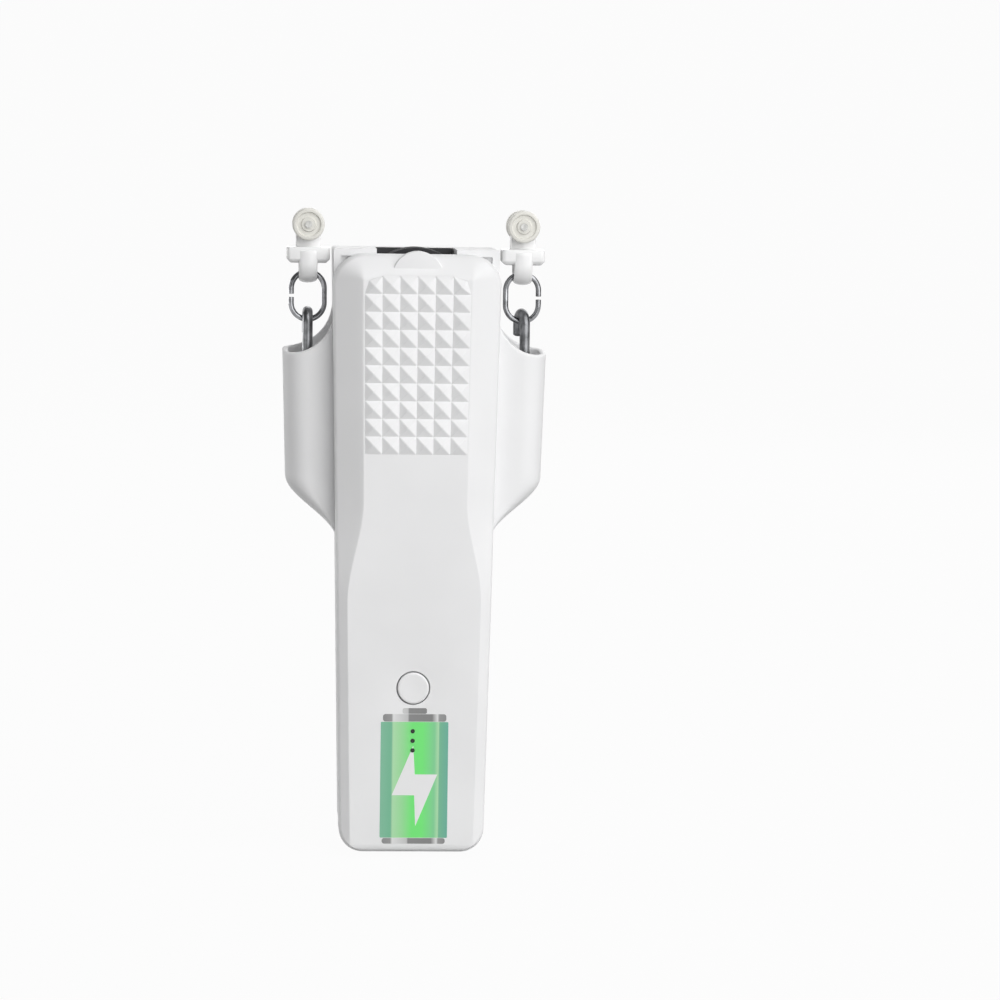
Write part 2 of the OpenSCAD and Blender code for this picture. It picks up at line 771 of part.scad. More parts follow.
// Lid in front of the gears, with a tongue that closes the wheel's slot at the back
module gear_lid() {
    color("dimgray") difference() {
        union() {
            along_y(lid_y, lid_y + lid_t) gear_case_plan(0);
            along_y(lid_y, lid_y + lid_t) translate([-fork_out, fork_foot])
                square([2 * fork_out, fork_top - fork_foot]);
            along_y(lid_y, lid_y + lid_t) translate([loose_fit - slot_half, case_top - case_rim])
                square([2 * slot_half - 2 * loose_fit, cheek_top - case_top + case_rim]);
        }
        rod_y(0, wheel_z, shaft_r + shaft_room, lid_y - eps, lid_y + lid_t + eps);
        rod_y(0, idler_z, idler_pin_r + fixed_fit, lid_y - eps, lid_y + lid_t + eps);
        rod_y(0, pinion_z, motor_shaft_r + pinion_hub + shaft_room, lid_y - eps, lid_y + lid_t + eps);
        for (s = [-1, 1], z = fork_screw_z)
            rod_y(s * fork_screw_x, z, fork_screw_r + running_fit, lid_y - eps, lid_y + lid_t + eps);
    }
}

module wheel_fork() {
    color("gainsboro") difference() {
        along_y(fork_y - fork_t, lid_y) translate([-fork_out, fork_foot])
            square([2 * fork_out, fork_top - fork_foot]);
        along_y(fork_y, lid_y + eps) translate([-fork_in, fork_foot - eps])
            square([2 * fork_in, fork_top - fork_foot + 2 * eps]);
        rod_y(0, wheel_z, bush_r + fixed_fit, fork_y - fork_t - eps, fork_y + eps);
        for (s = [-1, 1], z = fork_screw_z)
            rod_y(s * fork_screw_x, z, fork_screw_r + fixed_fit, lid_y - fork_bite - tip_gap, lid_y + eps);
    }
}

module fork_screws() {
    head = lid_y + lid_t;
    color("silver") for (s = [-1, 1], z = fork_screw_z) union() {
        rod_y(s * fork_screw_x, z, fork_screw_r, lid_y - fork_bite, head + eps);
        rod_y(s * fork_screw_x, z, 2 * fork_screw_r, head, head + fork_head_t);
    }
}

module bush(y0, y1) {
    color("goldenrod") difference() {
        rod_y(0, wheel_z, bush_r, y0, y1);
        rod_y(0, wheel_z, shaft_r + running_fit, y0 - eps, y1 + eps);
    }
}

module rear_bush() {
    bush(inner_back_y - case_floor, inner_back_y - bore_skin);
}

module front_bush() {
    bush(fork_y - fork_t, fork_y);
}

motor_flat = 0.85;
pinion_hub = 1.4;
gear_hub = 2;
shaft_end = 0.2;

module motor_can() {
    color("silver") along_y(motor_y, gear_head_y) translate([0, pinion_z]) intersection() {
        circle(motor_r);
        square([2 * motor_r, motor_flat * 2 * motor_r], center = true);
    }
}

module gear_head() {
    color("darkgray") difference() {
        rod_y(0, pinion_z, motor_r - tip_gap, gear_head_y, lid_y);
        rod_y(0, pinion_z, motor_shaft_r + running_fit, gear_head_y + gear_head_floor, lid_y + eps);
    }
}

module motor_shaft() {
    color("silver") rod_y(0, pinion_z, motor_shaft_r, gear_head_y + gear_head_floor + shaft_end,
        gear_y + gear_t);
}

module pinion() {
    color("goldenrod") spur(pinion_teeth, pinion_z, 90 + 180 / pinion_teeth, motor_shaft_r + fixed_fit,
        motor_shaft_r + pinion_hub, lid_y + lid_t + loose_fit, gear_y + gear_t);
}

module idler_gear() {
    color("ivory") spur(idler_teeth, idler_z, 90, idler_pin_r + running_fit, idler_pin_r + gear_hub,
        lid_y + lid_t + loose_fit, inner_back_y - case_floor - loose_fit);
}

module idler_pin() {
    color("silver") rod_y(0, idler_z, idler_pin_r, lid_y, inner_back_y - bore_skin - eps);
}

module wheel_gear() {
    color("ivory") spur(wheel_teeth, wheel_z, 270 + 180 / wheel_teeth, shaft_r + fixed_fit,
        shaft_r + gear_hub, lid_y + lid_t + loose_fit, inner_back_y - case_floor - loose_fit);
}

module drive_shaft() {
    color("silver") rod_y(0, wheel_z, shaft_r, fork_y - fork_t, inner_back_y - bore_skin - shaft_end);
}

hub_r = wheel_r - tyre_t;
hub_set = 1;
hub_rim = 1.5;
tyre_groove = 0.6;

module wheel_hub() {
    w = wheel_w / 2;
    color("dimgray") difference() {
        union() {
            rod_y(0, wheel_z, hub_r - fixed_fit, -w + hub_set, w - hub_set);
            rod_y(0, wheel_z, shaft_r + gear_hub, -w - hub_boss, w);
        }
        rod_y(0, wheel_z, shaft_r + fixed_fit, -w - hub_boss - eps, w + eps);
        for (a = [0:60:300]) translate([0, 0, wheel_z]) rotate([0, a, 0])
            rod_y((hub_r + shaft_r + gear_hub) / 2, 0, (hub_r - shaft_r - gear_hub) / 2 - hub_rim, -w, w);
    }
}

// Rubber ring with grooves round it
module wheel_tyre() {
    w = wheel_w / 2;
    color("black") difference() {
        rod_y(0, wheel_z, wheel_r, -w, w);
        rod_y(0, wheel_z, hub_r, -w - eps, w + eps);
        for (y = [-0.5, 0, 0.5]) difference() {
            rod_y(0, wheel_z, wheel_r + eps, y * w - tyre_groove, y * w + tyre_groove);
            rod_y(0, wheel_z, wheel_r - tyre_groove, y * w - tyre_groove - eps, y * w + tyre_groove + eps);
        }
    }
}

// Steel wire bent over the link, with a short open end behind and a long upright in front
module hook(side) {
    turn = side > 0 ? hook_turn : 0;
    low = hook_top - hook_bend;
    color("slategray") translate([side * hook_x, 0, 0]) rotate([0, 0, turn]) union() {
        translate([0, 0, low]) rotate([90, 0, 90]) rotate_extrude(angle = 180)
            translate([hook_bend, 0]) circle(hook_wire);
        translate([0, -hook_bend, hook_end]) cylinder(h = low - hook_end, r = hook_wire);
        translate([0, hook_bend, low - hook_tip]) cylinder(h = hook_tip, r = hook_wire);
    }
}

module hook_nut(side) {
    place = hook_place(side);
    color("silver") translate([place[0], place[1], nut_top - nut_t]) difference() {
        cylinder(h = nut_t, r = nut_r, $fn = 6);
        translate([0, 0, -eps]) cylinder(h = nut_t + 2 * eps, r = hook_wire + fixed_fit);
    }
}

// Coil spring between the shelf and the nut, as one tube along a helix
spring_room = 0.8;
spring_mean = hook_wire + spring_room + spring_wire;
spring_rings = 8 * spring_turns;
spring_sides = 6;
spring_rise = spring_len - 2 * spring_wire - 2 * loose_fit;

module hook_spring(side) {
    place = hook_place(side);
    n = spring_sides;
    points = [for (i = [0:spring_rings], k = [0:n - 1])
        let (a = 360 * spring_turns * i / spring_rings, b = 360 * k / n,
            r = spring_mean + spring_wire * cos(b))
        [r * cos(a), r * sin(a), spring_rise * i / spring_rings + spring_wire * sin(b)]];
    sides = [for (i = [0:spring_rings - 1], k = [0:n - 1], h = [0, 1])
        let (a = i * n + k, b = i * n + (k + 1) % n) h == 0 ? [a, b, b + n] : [a, b + n, a + n]];
    color("silver") translate([place[0], place[1], nut_top + spring_wire + loose_fit])
        polyhedron(points = points, faces = concat([[for (k = [n - 1:-1:0]) k]], sides,
            [[for (k = [0:n - 1]) spring_rings * n + k]]));
}

// Oval of wire with a slit in its outer side
module link(side) {
    mid = (link_top + link_bar) / 2;
    reach = (link_top - link_bar) / 2 - link_r;
    color("silver") translate([side * hook_x, 0, mid]) difference() {
        union() {
            for (s = [0, 180]) rotate([0, s, 0]) translate([0, 0, reach])
                rotate([90, 0, 0]) rotate_extrude(angle = 180) translate([link_r, 0]) circle(link_wire);
            for (s = [-1, 1]) translate([s * link_r, 0, -reach]) cylinder(h = 2 * reach, r = link_wire);
        }
        translate([side * link_r - 2 * link_wire, -2 * link_wire, -link_slit / 2])
            cube([4 * link_wire, 4 * link_wire, link_slit]);
    }
}

runner_chamfer = 1;
strap_points = [for (a = [0:15:345]) [strap_half * cos(a), strap_t / 2 * sin(a)]];

// Runner: a foot under the rail with a strap for the link, and a neck that goes up through the slot
module runner(side) {
    w = runner_w / 2;
    chamfer = runner_chamfer;
    bend_z = strap_mid + strap_bend;
    color("white") translate([side * hook_x, 0, 0]) difference() {
        union() {
            along_y(-runner_d / 2, runner_d / 2) polygon([[-w, -loose_fit], [w, -loose_fit],
                [w, chamfer - runner_h], [w - chamfer, -runner_h], [chamfer - w, -runner_h],
                [-w, chamfer - runner_h]]);
            translate([0, 0, bend_z]) rotate([0, 90, 0]) rotate([0, 0, -90]) rotate_extrude(angle = 180)
                translate([strap_bend, 0]) rotate(90) polygon(strap_points);
            for (s = [-1, 1]) translate([0, s * strap_bend, bend_z])
                linear_extrude(-runner_h / 2 - bend_z) polygon(strap_points);
            translate([-neck_w / 2, -neck_d / 2, -runner_h]) cube([neck_w, neck_d, runner_h + roller_z]);
            rod_y(0, roller_z, neck_w / 2, -neck_d / 2, neck_d / 2);
        }
        rod_y(0, roller_z, roller_axle_r + running_fit, -neck_d, neck_d);
    }
}

axle_end = 0.5;
roller_in = neck_d / 2 + loose_fit;
roller_out = roller_in + roller_w;

module roller_axle(side) {
    color("silver") rod_y(side * hook_x, roller_z, roller_axle_r,
        -roller_out - axle_end, roller_out + axle_end);
}

module rollers(side) {
    color("whitesmoke") for (y = [-roller_out, roller_in]) difference() {
        rod_y(side * hook_x, roller_z, roller_r, y, y + roller_w);
        rod_y(side * hook_x, roller_z, roller_axle_r + fixed_fit, y - eps, y + roller_w + eps);
    }
}

front_cover();
grip_pad();
rear_housing();
pocket_left();
pocket_right();
cover_screws();
button();
tact_switch();
light_pipe();
status_leds();
main_board();
radio_module();
board_screws();
usb_socket();
battery_cells();
battery_cradle();
cell_contacts();
gear_case();
gear_lid();
wheel_fork();
fork_screws();
rear_bush();
front_bush();
motor_can();
gear_head();
motor_shaft();
pinion();
idler_gear();
idler_pin();
wheel_gear();
drive_shaft();
wheel_hub();
wheel_tyre();
hook(-1);  // hook_left
hook(1);  // hook_right
hook_nut(-1);  // hook_nut_left
hook_nut(1);  // hook_nut_right
hook_spring(-1);  // hook_spring_left
hook_spring(1);  // hook_spring_right
link(-1);  // link_left
link(1);  // link_right
runner(-1);  // runner_left
runner(1);  // runner_right
roller_axle(-1);  // roller_axle_left
roller_axle(1);  // roller_axle_right
rollers(-1);  // rollers_left
rollers(1);  // rollers_right
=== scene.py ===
"""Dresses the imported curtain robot: covers, grip, pockets, hanging kit, drive wheel and studio."""
import math

import bmesh
import bpy
import numpy as np
from bpy.props import FloatProperty, FloatVectorProperty, IntProperty, PointerProperty
from mathutils import Matrix, Vector


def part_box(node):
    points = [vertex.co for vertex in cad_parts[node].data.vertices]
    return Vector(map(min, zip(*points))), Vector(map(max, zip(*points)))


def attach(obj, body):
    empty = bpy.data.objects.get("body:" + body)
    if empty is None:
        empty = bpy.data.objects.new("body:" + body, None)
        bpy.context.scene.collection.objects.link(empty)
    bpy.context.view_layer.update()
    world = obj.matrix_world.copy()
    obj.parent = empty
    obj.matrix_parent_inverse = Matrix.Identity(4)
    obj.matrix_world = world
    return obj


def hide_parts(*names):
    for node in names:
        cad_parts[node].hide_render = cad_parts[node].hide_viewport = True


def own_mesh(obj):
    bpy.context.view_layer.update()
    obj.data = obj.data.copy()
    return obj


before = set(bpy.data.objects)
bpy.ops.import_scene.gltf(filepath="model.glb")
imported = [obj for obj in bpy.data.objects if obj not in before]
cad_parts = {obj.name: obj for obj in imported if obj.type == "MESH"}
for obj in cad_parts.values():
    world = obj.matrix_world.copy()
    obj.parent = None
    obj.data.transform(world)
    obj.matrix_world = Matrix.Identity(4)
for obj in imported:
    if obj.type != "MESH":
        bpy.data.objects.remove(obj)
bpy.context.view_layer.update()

bl_info = {
    "name": "Curtain robot",
    "version": (1, 0, 0),
    "blender": (4, 5, 0),
    "location": "3D View > Sidebar > Curtain robot",
    "description": "Builds the visible pieces of a curtain robot round its packed frame",
    "category": "Object",
}

MM = 0.001
LEFT, RIGHT = -1, 1
SIDE_NAMES = {LEFT: "left", RIGHT: "right"}


class Box:
    """Lowest and highest corner, middle and half size of a node, in millimetres."""

    def __init__(self, node):
        self.low, self.high = (np.array(corner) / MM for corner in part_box(node))
        self.middle, self.half = (self.low + self.high) / 2, (self.high - self.low) / 2


COVER, REAR, GRIP = Box("front_cover"), Box("rear_housing"), Box("grip_pad")
BUTTON, POCKET, SCREWS = Box("button"), Box("pocket_left"), Box("cover_screws")
HOOK, LINK, RUNNER = Box("hook_left"), Box("link_left"), Box("runner_left")
ROLLERS, TYRE = Box("rollers_left"), Box("wheel_tyre")

GRIP_SEAT = 0.6
FACE_Y = GRIP.high[1] - GRIP_SEAT
FOOT_Z = COVER.low[2]
SPLIT_Y = REAR.low[1]
BACK_Y = REAR.high[1]
BUTTON_Z = BUTTON.middle[2]
ROLLER_Z = ROLLERS.middle[2]
HANG_X = -LINK.middle[0]


def length(name, description, millimetres):
    """A length property whose default is given in millimetres."""
    return FloatProperty(name=name, description=description, default=float(millimetres) * MM,
                         subtype="DISTANCE", unit="LENGTH", precision=5)


def angle(name, description, degrees):
    """An angle property whose default is given in degrees."""
    return FloatProperty(name=name, description=description, default=math.radians(degrees),
                         subtype="ANGLE", unit="ROTATION")


def number(name, description, value):
    """A plain number property."""
    return FloatProperty(name=name, description=description, default=value)


def whole(name, description, value):
    """A whole number property of 2 or more."""
    return IntProperty(name=name, description=description, default=value, min=2)


def colour(name, description, value):
    """A colour property."""
    return FloatVectorProperty(name=name, description=description, default=value, size=3,
                               subtype="COLOR", min=0.0, max=1.0)


class CoverSizes(bpy.types.PropertyGroup):
    """Sizes of the front cover"""
    top: length("Top", "Height of the cover's top edge", -1.7)
    top_half: length("Half width at the top", "Half the cover's width at its top", 23.65)
    foot_half: length("Half width at the foot", "Half the cover's width at its foot", 20.2)
    top_corner: length("Top corner", "Radius of the top corners", 8.7)
    foot_corner: length("Foot corner", "Radius of the corners at the foot", 6.7)
    face_half: length("Half width of the face", "Half the raised face's width at its top", 15.1)
    rim: length("Rim", "Width of the bevel beside the face at the foot", 3.1)
    bevel_slope: number("Bevel slope", "Slope of the bevels beside the face", 0.55)
    flare_top: length("Flare top", "Height where the face starts to widen", -70)
    flare_end: length("Flare end", "Height where the face has its full width", -99)
    crown: length("Crown", "Length of the slope at the top of the face", 7)
    crown_curve: number("Crown curve", "Power of the slope at the top", 1.4)
    foot_round: length("Foot rounding", "Length of the rounding at the foot", 2.5)
    wall: length("Wall", "Wall of the cover", 2)
    face_wall: length("Face wall", "Wall behind the face", 3)
    edge: length("Edge rounding", "Rounding of the cover's side edges", 0.9)
    tab_radius: length("Tab radius", "Radius of the thumb tab", 7.3)
    tab_height: length("Tab height", "Height of the thumb tab", 4.8)


class GripSizes(bpy.types.PropertyGroup):
    """Sizes of the grip"""
    columns: whole("Columns", "Pyramids across", 6)
    rows: whole("Rows", "Pyramids down", 10)
    soft: FloatProperty(name="Softness", description="Rounding of peaks and valleys, as a share",
                        default=0.05, min=0.001, max=0.5, subtype="FACTOR")


class HousingSizes(bpy.types.PropertyGroup):
    """Sizes of the rear housing"""
    step: length("Step", "Step in from the cover's side", 0.4)
    back_round: length("Back edges", "Radius of the upright back edges", 3.5)
    end_round: length("End edges", "Radius of the back's top and foot edges", 0.9)
    pad_round: length("Pad edges", "Radius of the back's edge beside the upper screws", 1.2)
    slot_half: length("Wheel slot", "Half the length of the wheel's slot", 11.2)
    slot_end: length("Slot end", "Depth where the wheel's slot ends", 9.3)
    screw_recess: length("Screw recess", "Depth of the screw recesses", 2.6)


class PocketSizes(bpy.types.PropertyGroup):
    """Sizes of the side pockets"""
    corner: length("Corner", "Radius of a pocket's upright edges", 7)
    wall: length("Wall", "Wall of a pocket", 1.6)
    draw: length("Draw", "How far a pocket draws in towards its foot", 1.1)
    draft_top: length("Draft top", "Height where a pocket starts to draw in", -28)
    turn: length("Turn", "Height where a pocket turns to the body", -64.5)
    scallop: length("Scallop", "Radius of the scalloped rim", 12.7)
    scallop_side: length("Scallop side", "Scallop's middle, in from the pocket's side", 1.65)
    scallop_z: length("Scallop height", "Height of the scallop's middle", -16.45)
    scallop_tilt: angle("Scallop tilt", "Fall of the rim towards the front", 4)
    shelf: length("Shelf", "Height of the guide shelf's top", -41)
    shelf_wall: length("Shelf thickness", "Thickness of the guide shelf", 2)
    lip: length("Lip", "Rounding of the rim", 0.6)


class KitSizes(bpy.types.PropertyGroup):
    """Sizes of the hooks, links, runners and wheel"""
    hook_wire: length("Hook wire", "Radius of the hook's wire", 1.45)
    hook_bend: length("Hook bend", "Bend radius of the hook", 3.2)
    hook_tip: length("Hook tip", "Length of the hook's open end", 3.5)
    hook_turn: angle("Hook turn", "Turn of the right hook", 13)
    hook_travel: length("Hook travel", "Slide of a hook against its spring", 6)
    spring_wire: length("Spring wire", "Radius of the hook spring's wire", 0.4)
    spring_turns: whole("Spring turns", "Turns of the hook spring", 6)
    link_wire: length("Link wire", "Radius of the link's wire", 0.775)
    link_slit: length("Link slit", "Gap where the link's ends meet", 0.7)
    strap_half: length("Strap", "Half the width of the runner's strap", 2.6)
    strap_thick: length("Strap thickness", "Thickness of the strap", 2)
    strap_bend: length("Strap bend", "Bend radius of the strap", 4.5)
    foot_height: length("Runner foot", "Height of the runner's foot", 4.7)
    neck_width: length("Neck width", "Width of the runner's neck", 7)
    neck_depth: length("Neck depth", "Depth of the runner's neck", 5)
    groove: length("Tyre groove", "Depth and half width of a tyre groove", 0.6)


class Finishes(bpy.types.PropertyGroup):
    """Colours of the finishes"""
    shell: colour("Shell", "Moulded white of the covers", (0.83, 0.83, 0.835))
    runner: colour("Runner", "Glossy white of the runners", (0.86, 0.86, 0.86))
    hook: colour("Hook", "Dull steel of the hooks", (0.29, 0.295, 0.305))
    link: colour("Link", "Bright steel of the links", (0.36, 0.365, 0.38))
    rubber: colour("Rubber", "Black of the tyre", (0.022, 0.022, 0.024))
    charge: colour("Charge", "Green of the charge mark", (0.17, 0.80, 0.19))


class StageSizes(bpy.types.PropertyGroup):
    """Camera and light"""
    distance: length("Distance", "Camera's distance from its target", 1200)
    frame_width: length("Frame width", "Width that the camera sees at the target", 283.15)
    target_x: length("Target X", "Where the camera looks, along the rail", 24.8)
    target_z: length("Target Z", "Where the camera looks, in height", -71.25)
    bearing: angle("Bearing", "Camera's turn to the robot's left", 3.75)
    elevation: angle("Elevation", "Camera's height above the horizon", 5)
    roll: angle("Roll", "Turn of the camera about its view", 0.81)
    key_power: number("Key light", "Power of the key light in watts", 38.5)
    ambient: number("Ambient", "Strength of the light from all round", 0.17)


GROUPS = {"robot_cover": CoverSizes, "robot_grip": GripSizes, "robot_housing": HousingSizes,
          "robot_pocket": PocketSizes, "robot_kit": KitSizes, "robot_finish": Finishes,
          "robot_stage": StageSizes}


class Sizes:
    """The lengths of a property group in millimetres; other values as they are."""

    def __init__(self, group):
        self.group = getattr(bpy.context.scene, "robot_" + group)

    def __getattr__(self, name):
        value = getattr(self.group, name)
        in_metres = self.group.bl_rna.properties[name].unit == "LENGTH"
        return value / MM if in_metres else value


# Points, loops and grids


def dots(*axes):
    """Points from the values along each axis, single ones repeated."""
    return np.stack(np.broadcast_arrays(*axes), -1)


def chain(*parts):
    """Lists of points or values put end to end."""
    return np.concatenate(parts)


def arc(x, z, radius, start, end, count):
    """Points of a circle about x, z from one angle to another, in degrees."""
    a = np.radians(np.linspace(start, end, count))
    return dots(x + radius * np.cos(a), z + radius * np.sin(a))


def ring(x, z, radius, count=48):
    """Closed circle of points."""
    return arc(x, z, radius, 0, 360, count + 1)[:-1]


def smooth(t):
    """Smoothstep of t held between 0 and 1."""
    t = np.clip(t, 0, 1)
    return t * t * (3 - 2 * t)


def between(a, b, count):
    """Evenly spaced values from a to b without the two ends."""
    return np.linspace(a, b, count + 2)[1:-1]


CORNER_STEPS = 18
SIDE_STEPS = 110
END_STEPS = 40
LEAST_CORNER = 0.4


def upright_loop(half, top, foot, top_r, foot_r, top_x=None):
    """Closed front view loop: sides given by half(z), round corners, straight top and foot."""
    zt, zf = top - top_r, foot + foot_r
    xt, xf = half(zt) - top_r, half(zf) - foot_r
    z = between(zt, zf, SIDE_STEPS)
    across = between(xt, -xt, END_STEPS) if top_x is None else top_x
    under = between(-xf, xf, END_STEPS)
    return chain(
        arc(xt, zt, top_r, 0, 90, CORNER_STEPS), dots(across, top),
        arc(-xt, zt, top_r, 90, 180, CORNER_STEPS), dots(-half(z), z),
        arc(-xf, zf, foot_r, 180, 270, CORNER_STEPS), dots(under, foot),
        arc(xf, zf, foot_r, 270, 360, CORNER_STEPS), dots(half(z), z)[::-1])


def at_depth(loop, y):
    """A front view loop set at depth y, as X, Y, Z points."""
    return dots(loop[..., 0], y, loop[..., 1])


def at_height(loop, z):
    """A plan loop set at height z, as X, Y, Z points."""
    return dots(loop[:, 0], loop[:, 1], z)


def bend(a, corner, b, count):
    """Rows of the quadratic curve from a to b that is pulled towards the corner."""
    t = np.linspace(0, 1, count)[:, None, None]
    return (1 - t) ** 2 * a + 2 * t * (1 - t) * corner + t * t * b


def fillet(a, corner, b, count=6):
    """The same curve for single points, as the points of a profile."""
    return bend(*(np.array([p], float) for p in (a, corner, b)), count)[:, 0]


def rows(*parts):
    """Stacks single rows and blocks of rows into one grid."""
    return chain(*(p[None] if p.ndim == 2 else p for p in parts))


def cells(m, n, wrap=True):
    """Point numbers of the four corners of each cell in a grid of m by n points."""
    i, j = np.meshgrid(np.arange(m - 1), np.arange(n if wrap else n - 1), indexing="ij")
    k = (j + 1) % n
    return [i * n + j, i * n + k, (i + 1) * n + k, (i + 1) * n + j]


def patch(grid, wrap=True, keep=None):
    """Points and faces of a grid; wrap joins its last column to the first, keep picks cells."""
    faces = dots(*cells(*grid.shape[:2], wrap))
    return grid.reshape(-1, 3), faces.reshape(-1, 4) if keep is None else faces[keep]


def shell(outer, inner, keep):
    """Two grids of one layout with cells left out, and walls between them round each gap."""
    m, n = outer.shape[:2]
    cell = cells(m, n)
    faces = dots(*cell)[keep]
    past_end = np.ones((1, n), bool)
    above, below = chain(past_end, keep[:-1]), chain(keep[1:], past_end)
    walls = []
    for s, beside in enumerate([above, np.roll(keep, -1, 1), below, np.roll(keep, 1, 1)]):
        a, b = cell[s], cell[(s + 1) % 4]
        walls.append(dots(a, b, b + m * n, a + m * n)[keep & ~beside])
    points = chain(outer.reshape(-1, 3), inner.reshape(-1, 3))
    return points, chain(faces, faces[:, ::-1] + m * n, *walls)


def lathe(profile, x, z, count=72):
    """Profile of radius and depth turned about the line along Y through x, z."""
    a = np.linspace(0, 2 * math.pi, count, endpoint=False)
    r, y = np.asarray(profile, float).T
    return dots(x + r[:, None] * np.cos(a), y[:, None], z + r[:, None] * np.sin(a))


CAP_LEAN = np.radians([88, 70, 52, 34, 17])


def tube(path, across, wide, high, cap=1.0, count=28):
    """Ellipse carried along a path that lies in one plane.

    across is the plane's normal. Each row is the path's point plus wide * cos(a) along across
    plus high * sin(a) along the path's own normal; both ends close over half an ellipsoid of
    share cap.
    """
    t = np.gradient(path, axis=0)
    t /= np.linalg.norm(t, axis=1)[:, None]
    lean, run, caps = CAP_LEAN, np.ones(len(path)), len(CAP_LEAN)
    reach = cap * min(wide, high) * np.sin(lean)[:, None]
    path = chain(path[0] - t[0] * reach, path, path[-1] + t[-1] * reach[::-1])
    t = chain(np.repeat(t[:1], caps, 0), t, np.repeat(t[-1:], caps, 0))
    size = chain(np.cos(lean), run, np.cos(lean)[::-1])[:, None, None]
    a = np.linspace(0, 2 * math.pi, count, endpoint=False)[None, :, None]
    sideways = wide * np.cos(a) * np.asarray(across, float)
    upward = high * np.sin(a) * np.cross(across, t)[:, None]
    return path[:, None] + size * (sideways + upward)


def round_rect(half_x, half_y, radius, count=8):
    """Closed rectangle with round corners about the origin."""
    x, y = half_x - radius, half_y - radius
    middles = ((x, y), (-x, y), (-x, -y), (x, -y))
    return chain(*(arc(*middle, radius, 90 * n, 90 * n + 90, count)
                   for n, middle in enumerate(middles)))


# Meshes

WELD = 2e-7
IN_PLANE = 1e-7


def fill_plane(bm, axis, value):
    """Fills the open loops in a plane across an axis, leaving the loops within them open."""
    edges = [e for e in bm.edges
             if e.is_boundary and all(abs(v.co[axis] - value) < IN_PLANE for v in e.verts)]
    bmesh.ops.triangle_fill(bm, use_beauty=True, use_dissolve=False, edges=edges)


def link_mesh(name, points, faces):
    """A mesh of points in millimetres, on an object in the scene."""
    mesh = bpy.data.meshes.new(name)
    mesh.from_pydata((points * MM).tolist(), [], faces.tolist())
    obj = bpy.data.objects.new(name, mesh)
    bpy.context.scene.collection.objects.link(obj)
    return obj


def piece(name, body, slot, patches, nodes=(), fills=(), look=None, sharp=38):
    """Joins patches, given in millimetres, into one closed mesh that rides on a body."""
    starts = np.cumsum([0] + [len(points) for points, _ in patches[:-1]])
    faces = chain(*(f + start for start, (_, f) in zip(starts, patches)))
    obj = link_mesh(name, chain(*(p for p, _ in patches)), faces)
    mesh = obj.data
    bm = bmesh.new()
    bm.from_mesh(mesh)
    bmesh.ops.remove_doubles(bm, verts=bm.verts, dist=WELD)
    bmesh.ops.dissolve_degenerate(bm, edges=bm.edges, dist=WELD / 2)
    for axis, value in fills:
        fill_plane(bm, axis, value * MM)
    bmesh.ops.holes_fill(bm, edges=[e for e in bm.edges if e.is_boundary], sides=0)
    bmesh.ops.triangulate(bm, faces=[f for f in bm.faces if len(f.verts) > 4])
    bmesh.ops.recalc_face_normals(bm, faces=bm.faces)
    bm.to_mesh(mesh)
    bm.free()
    mesh.shade_smooth()
    mesh.set_sharp_from_angle(angle=math.radians(sharp))
    mesh.materials.append(finish(look or slot))
    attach(obj, body)
    if nodes:
        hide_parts(*nodes)
    return obj


# Finishes


class Nodes:
    """Small helper that adds and links the nodes of one material or world."""

    def __init__(self, owner, shader="Principled BSDF"):
        owner.use_nodes = True
        self.tree = owner.node_tree
        self.shader = self.tree.nodes[shader]

    def add(self, kind, **inputs):
        """A node with its sockets set or linked by name."""
        node = self.tree.nodes.new(kind)
        for socket, value in inputs.items():
            self.join(node.inputs[socket.replace("_", " ")], value)
        return node

    def join(self, socket, value):
        """Links a socket to an output, or sets its value."""
        if isinstance(value, bpy.types.NodeSocket):
            self.tree.links.new(value, socket)
        else:
            socket.default_value = value

    def set(self, **inputs):
        """Sets or links the shader's sockets."""
        for socket, value in inputs.items():
            self.join(self.shader.inputs[socket.replace("_", " ")], value)

    def place(self):
        """Place on the piece, in metres."""
        return self.add("ShaderNodeTexCoord").outputs["Object"]

    def noise(self, scale, detail=3.0, stretch=(1, 1, 1)):
        """Noise of a scale per metre, stretched along the axes."""
        mapping = self.add("ShaderNodeMapping", Vector=self.place(), Scale=stretch).outputs[0]
        node = self.add("ShaderNodeTexNoise", Vector=mapping, Scale=scale, Detail=detail)
        return node.outputs["Fac"]

    def ramp(self, fac, stops):
        """Colour ramp through (place, colour) stops."""
        node = self.add("ShaderNodeValToRGB", Fac=fac)
        band = node.color_ramp
        for n, (at, value) in enumerate(stops):
            stop = band.elements[n] if n < 2 else band.elements.new(at)
            stop.position = at
            stop.color = (*value, 1)
        return node.outputs["Color"]

    def span(self, fac, low, high, start=0.3, end=0.7):
        """A value from low to high as fac goes from start to end."""
        return self.add("ShaderNodeMapRange", Value=fac, From_Min=start, From_Max=end,
                        To_Min=low, To_Max=high).outputs["Result"]

    def combine(self, operation, a, b):
        """Two values put together by a math operation."""
        node = self.add("ShaderNodeMath")
        node.operation = operation
        self.join(node.inputs[0], a)
        self.join(node.inputs[1], b)
        return node.outputs[0]

    def bump(self, height, strength, distance):
        """Bump from a height, linked to the shader."""
        node = self.add("ShaderNodeBump", Height=height, Strength=strength, Distance=distance)
        self.set(Normal=node.outputs["Normal"])


def shade(value, factor):
    """A colour made lighter or darker."""
    return tuple(min(1.0, c * factor) for c in value)


def moulded(n, value, rough, grain=2600.0, bump=0.05, specular=0.5):
    """Moulded plastic: cloudy colour, fine eroded grain in the gloss and the bump."""
    cloud, fine = n.noise(38.0, 2.0), n.noise(grain, 4.0)
    n.set(Base_Color=n.ramp(cloud, [(0.3, shade(value, 0.975)), (0.7, shade(value, 1.015))]),
          Roughness=n.span(fine, rough - 0.05, rough + 0.07), Specular_IOR_Level=specular)
    n.bump(fine, bump, 0.0001)


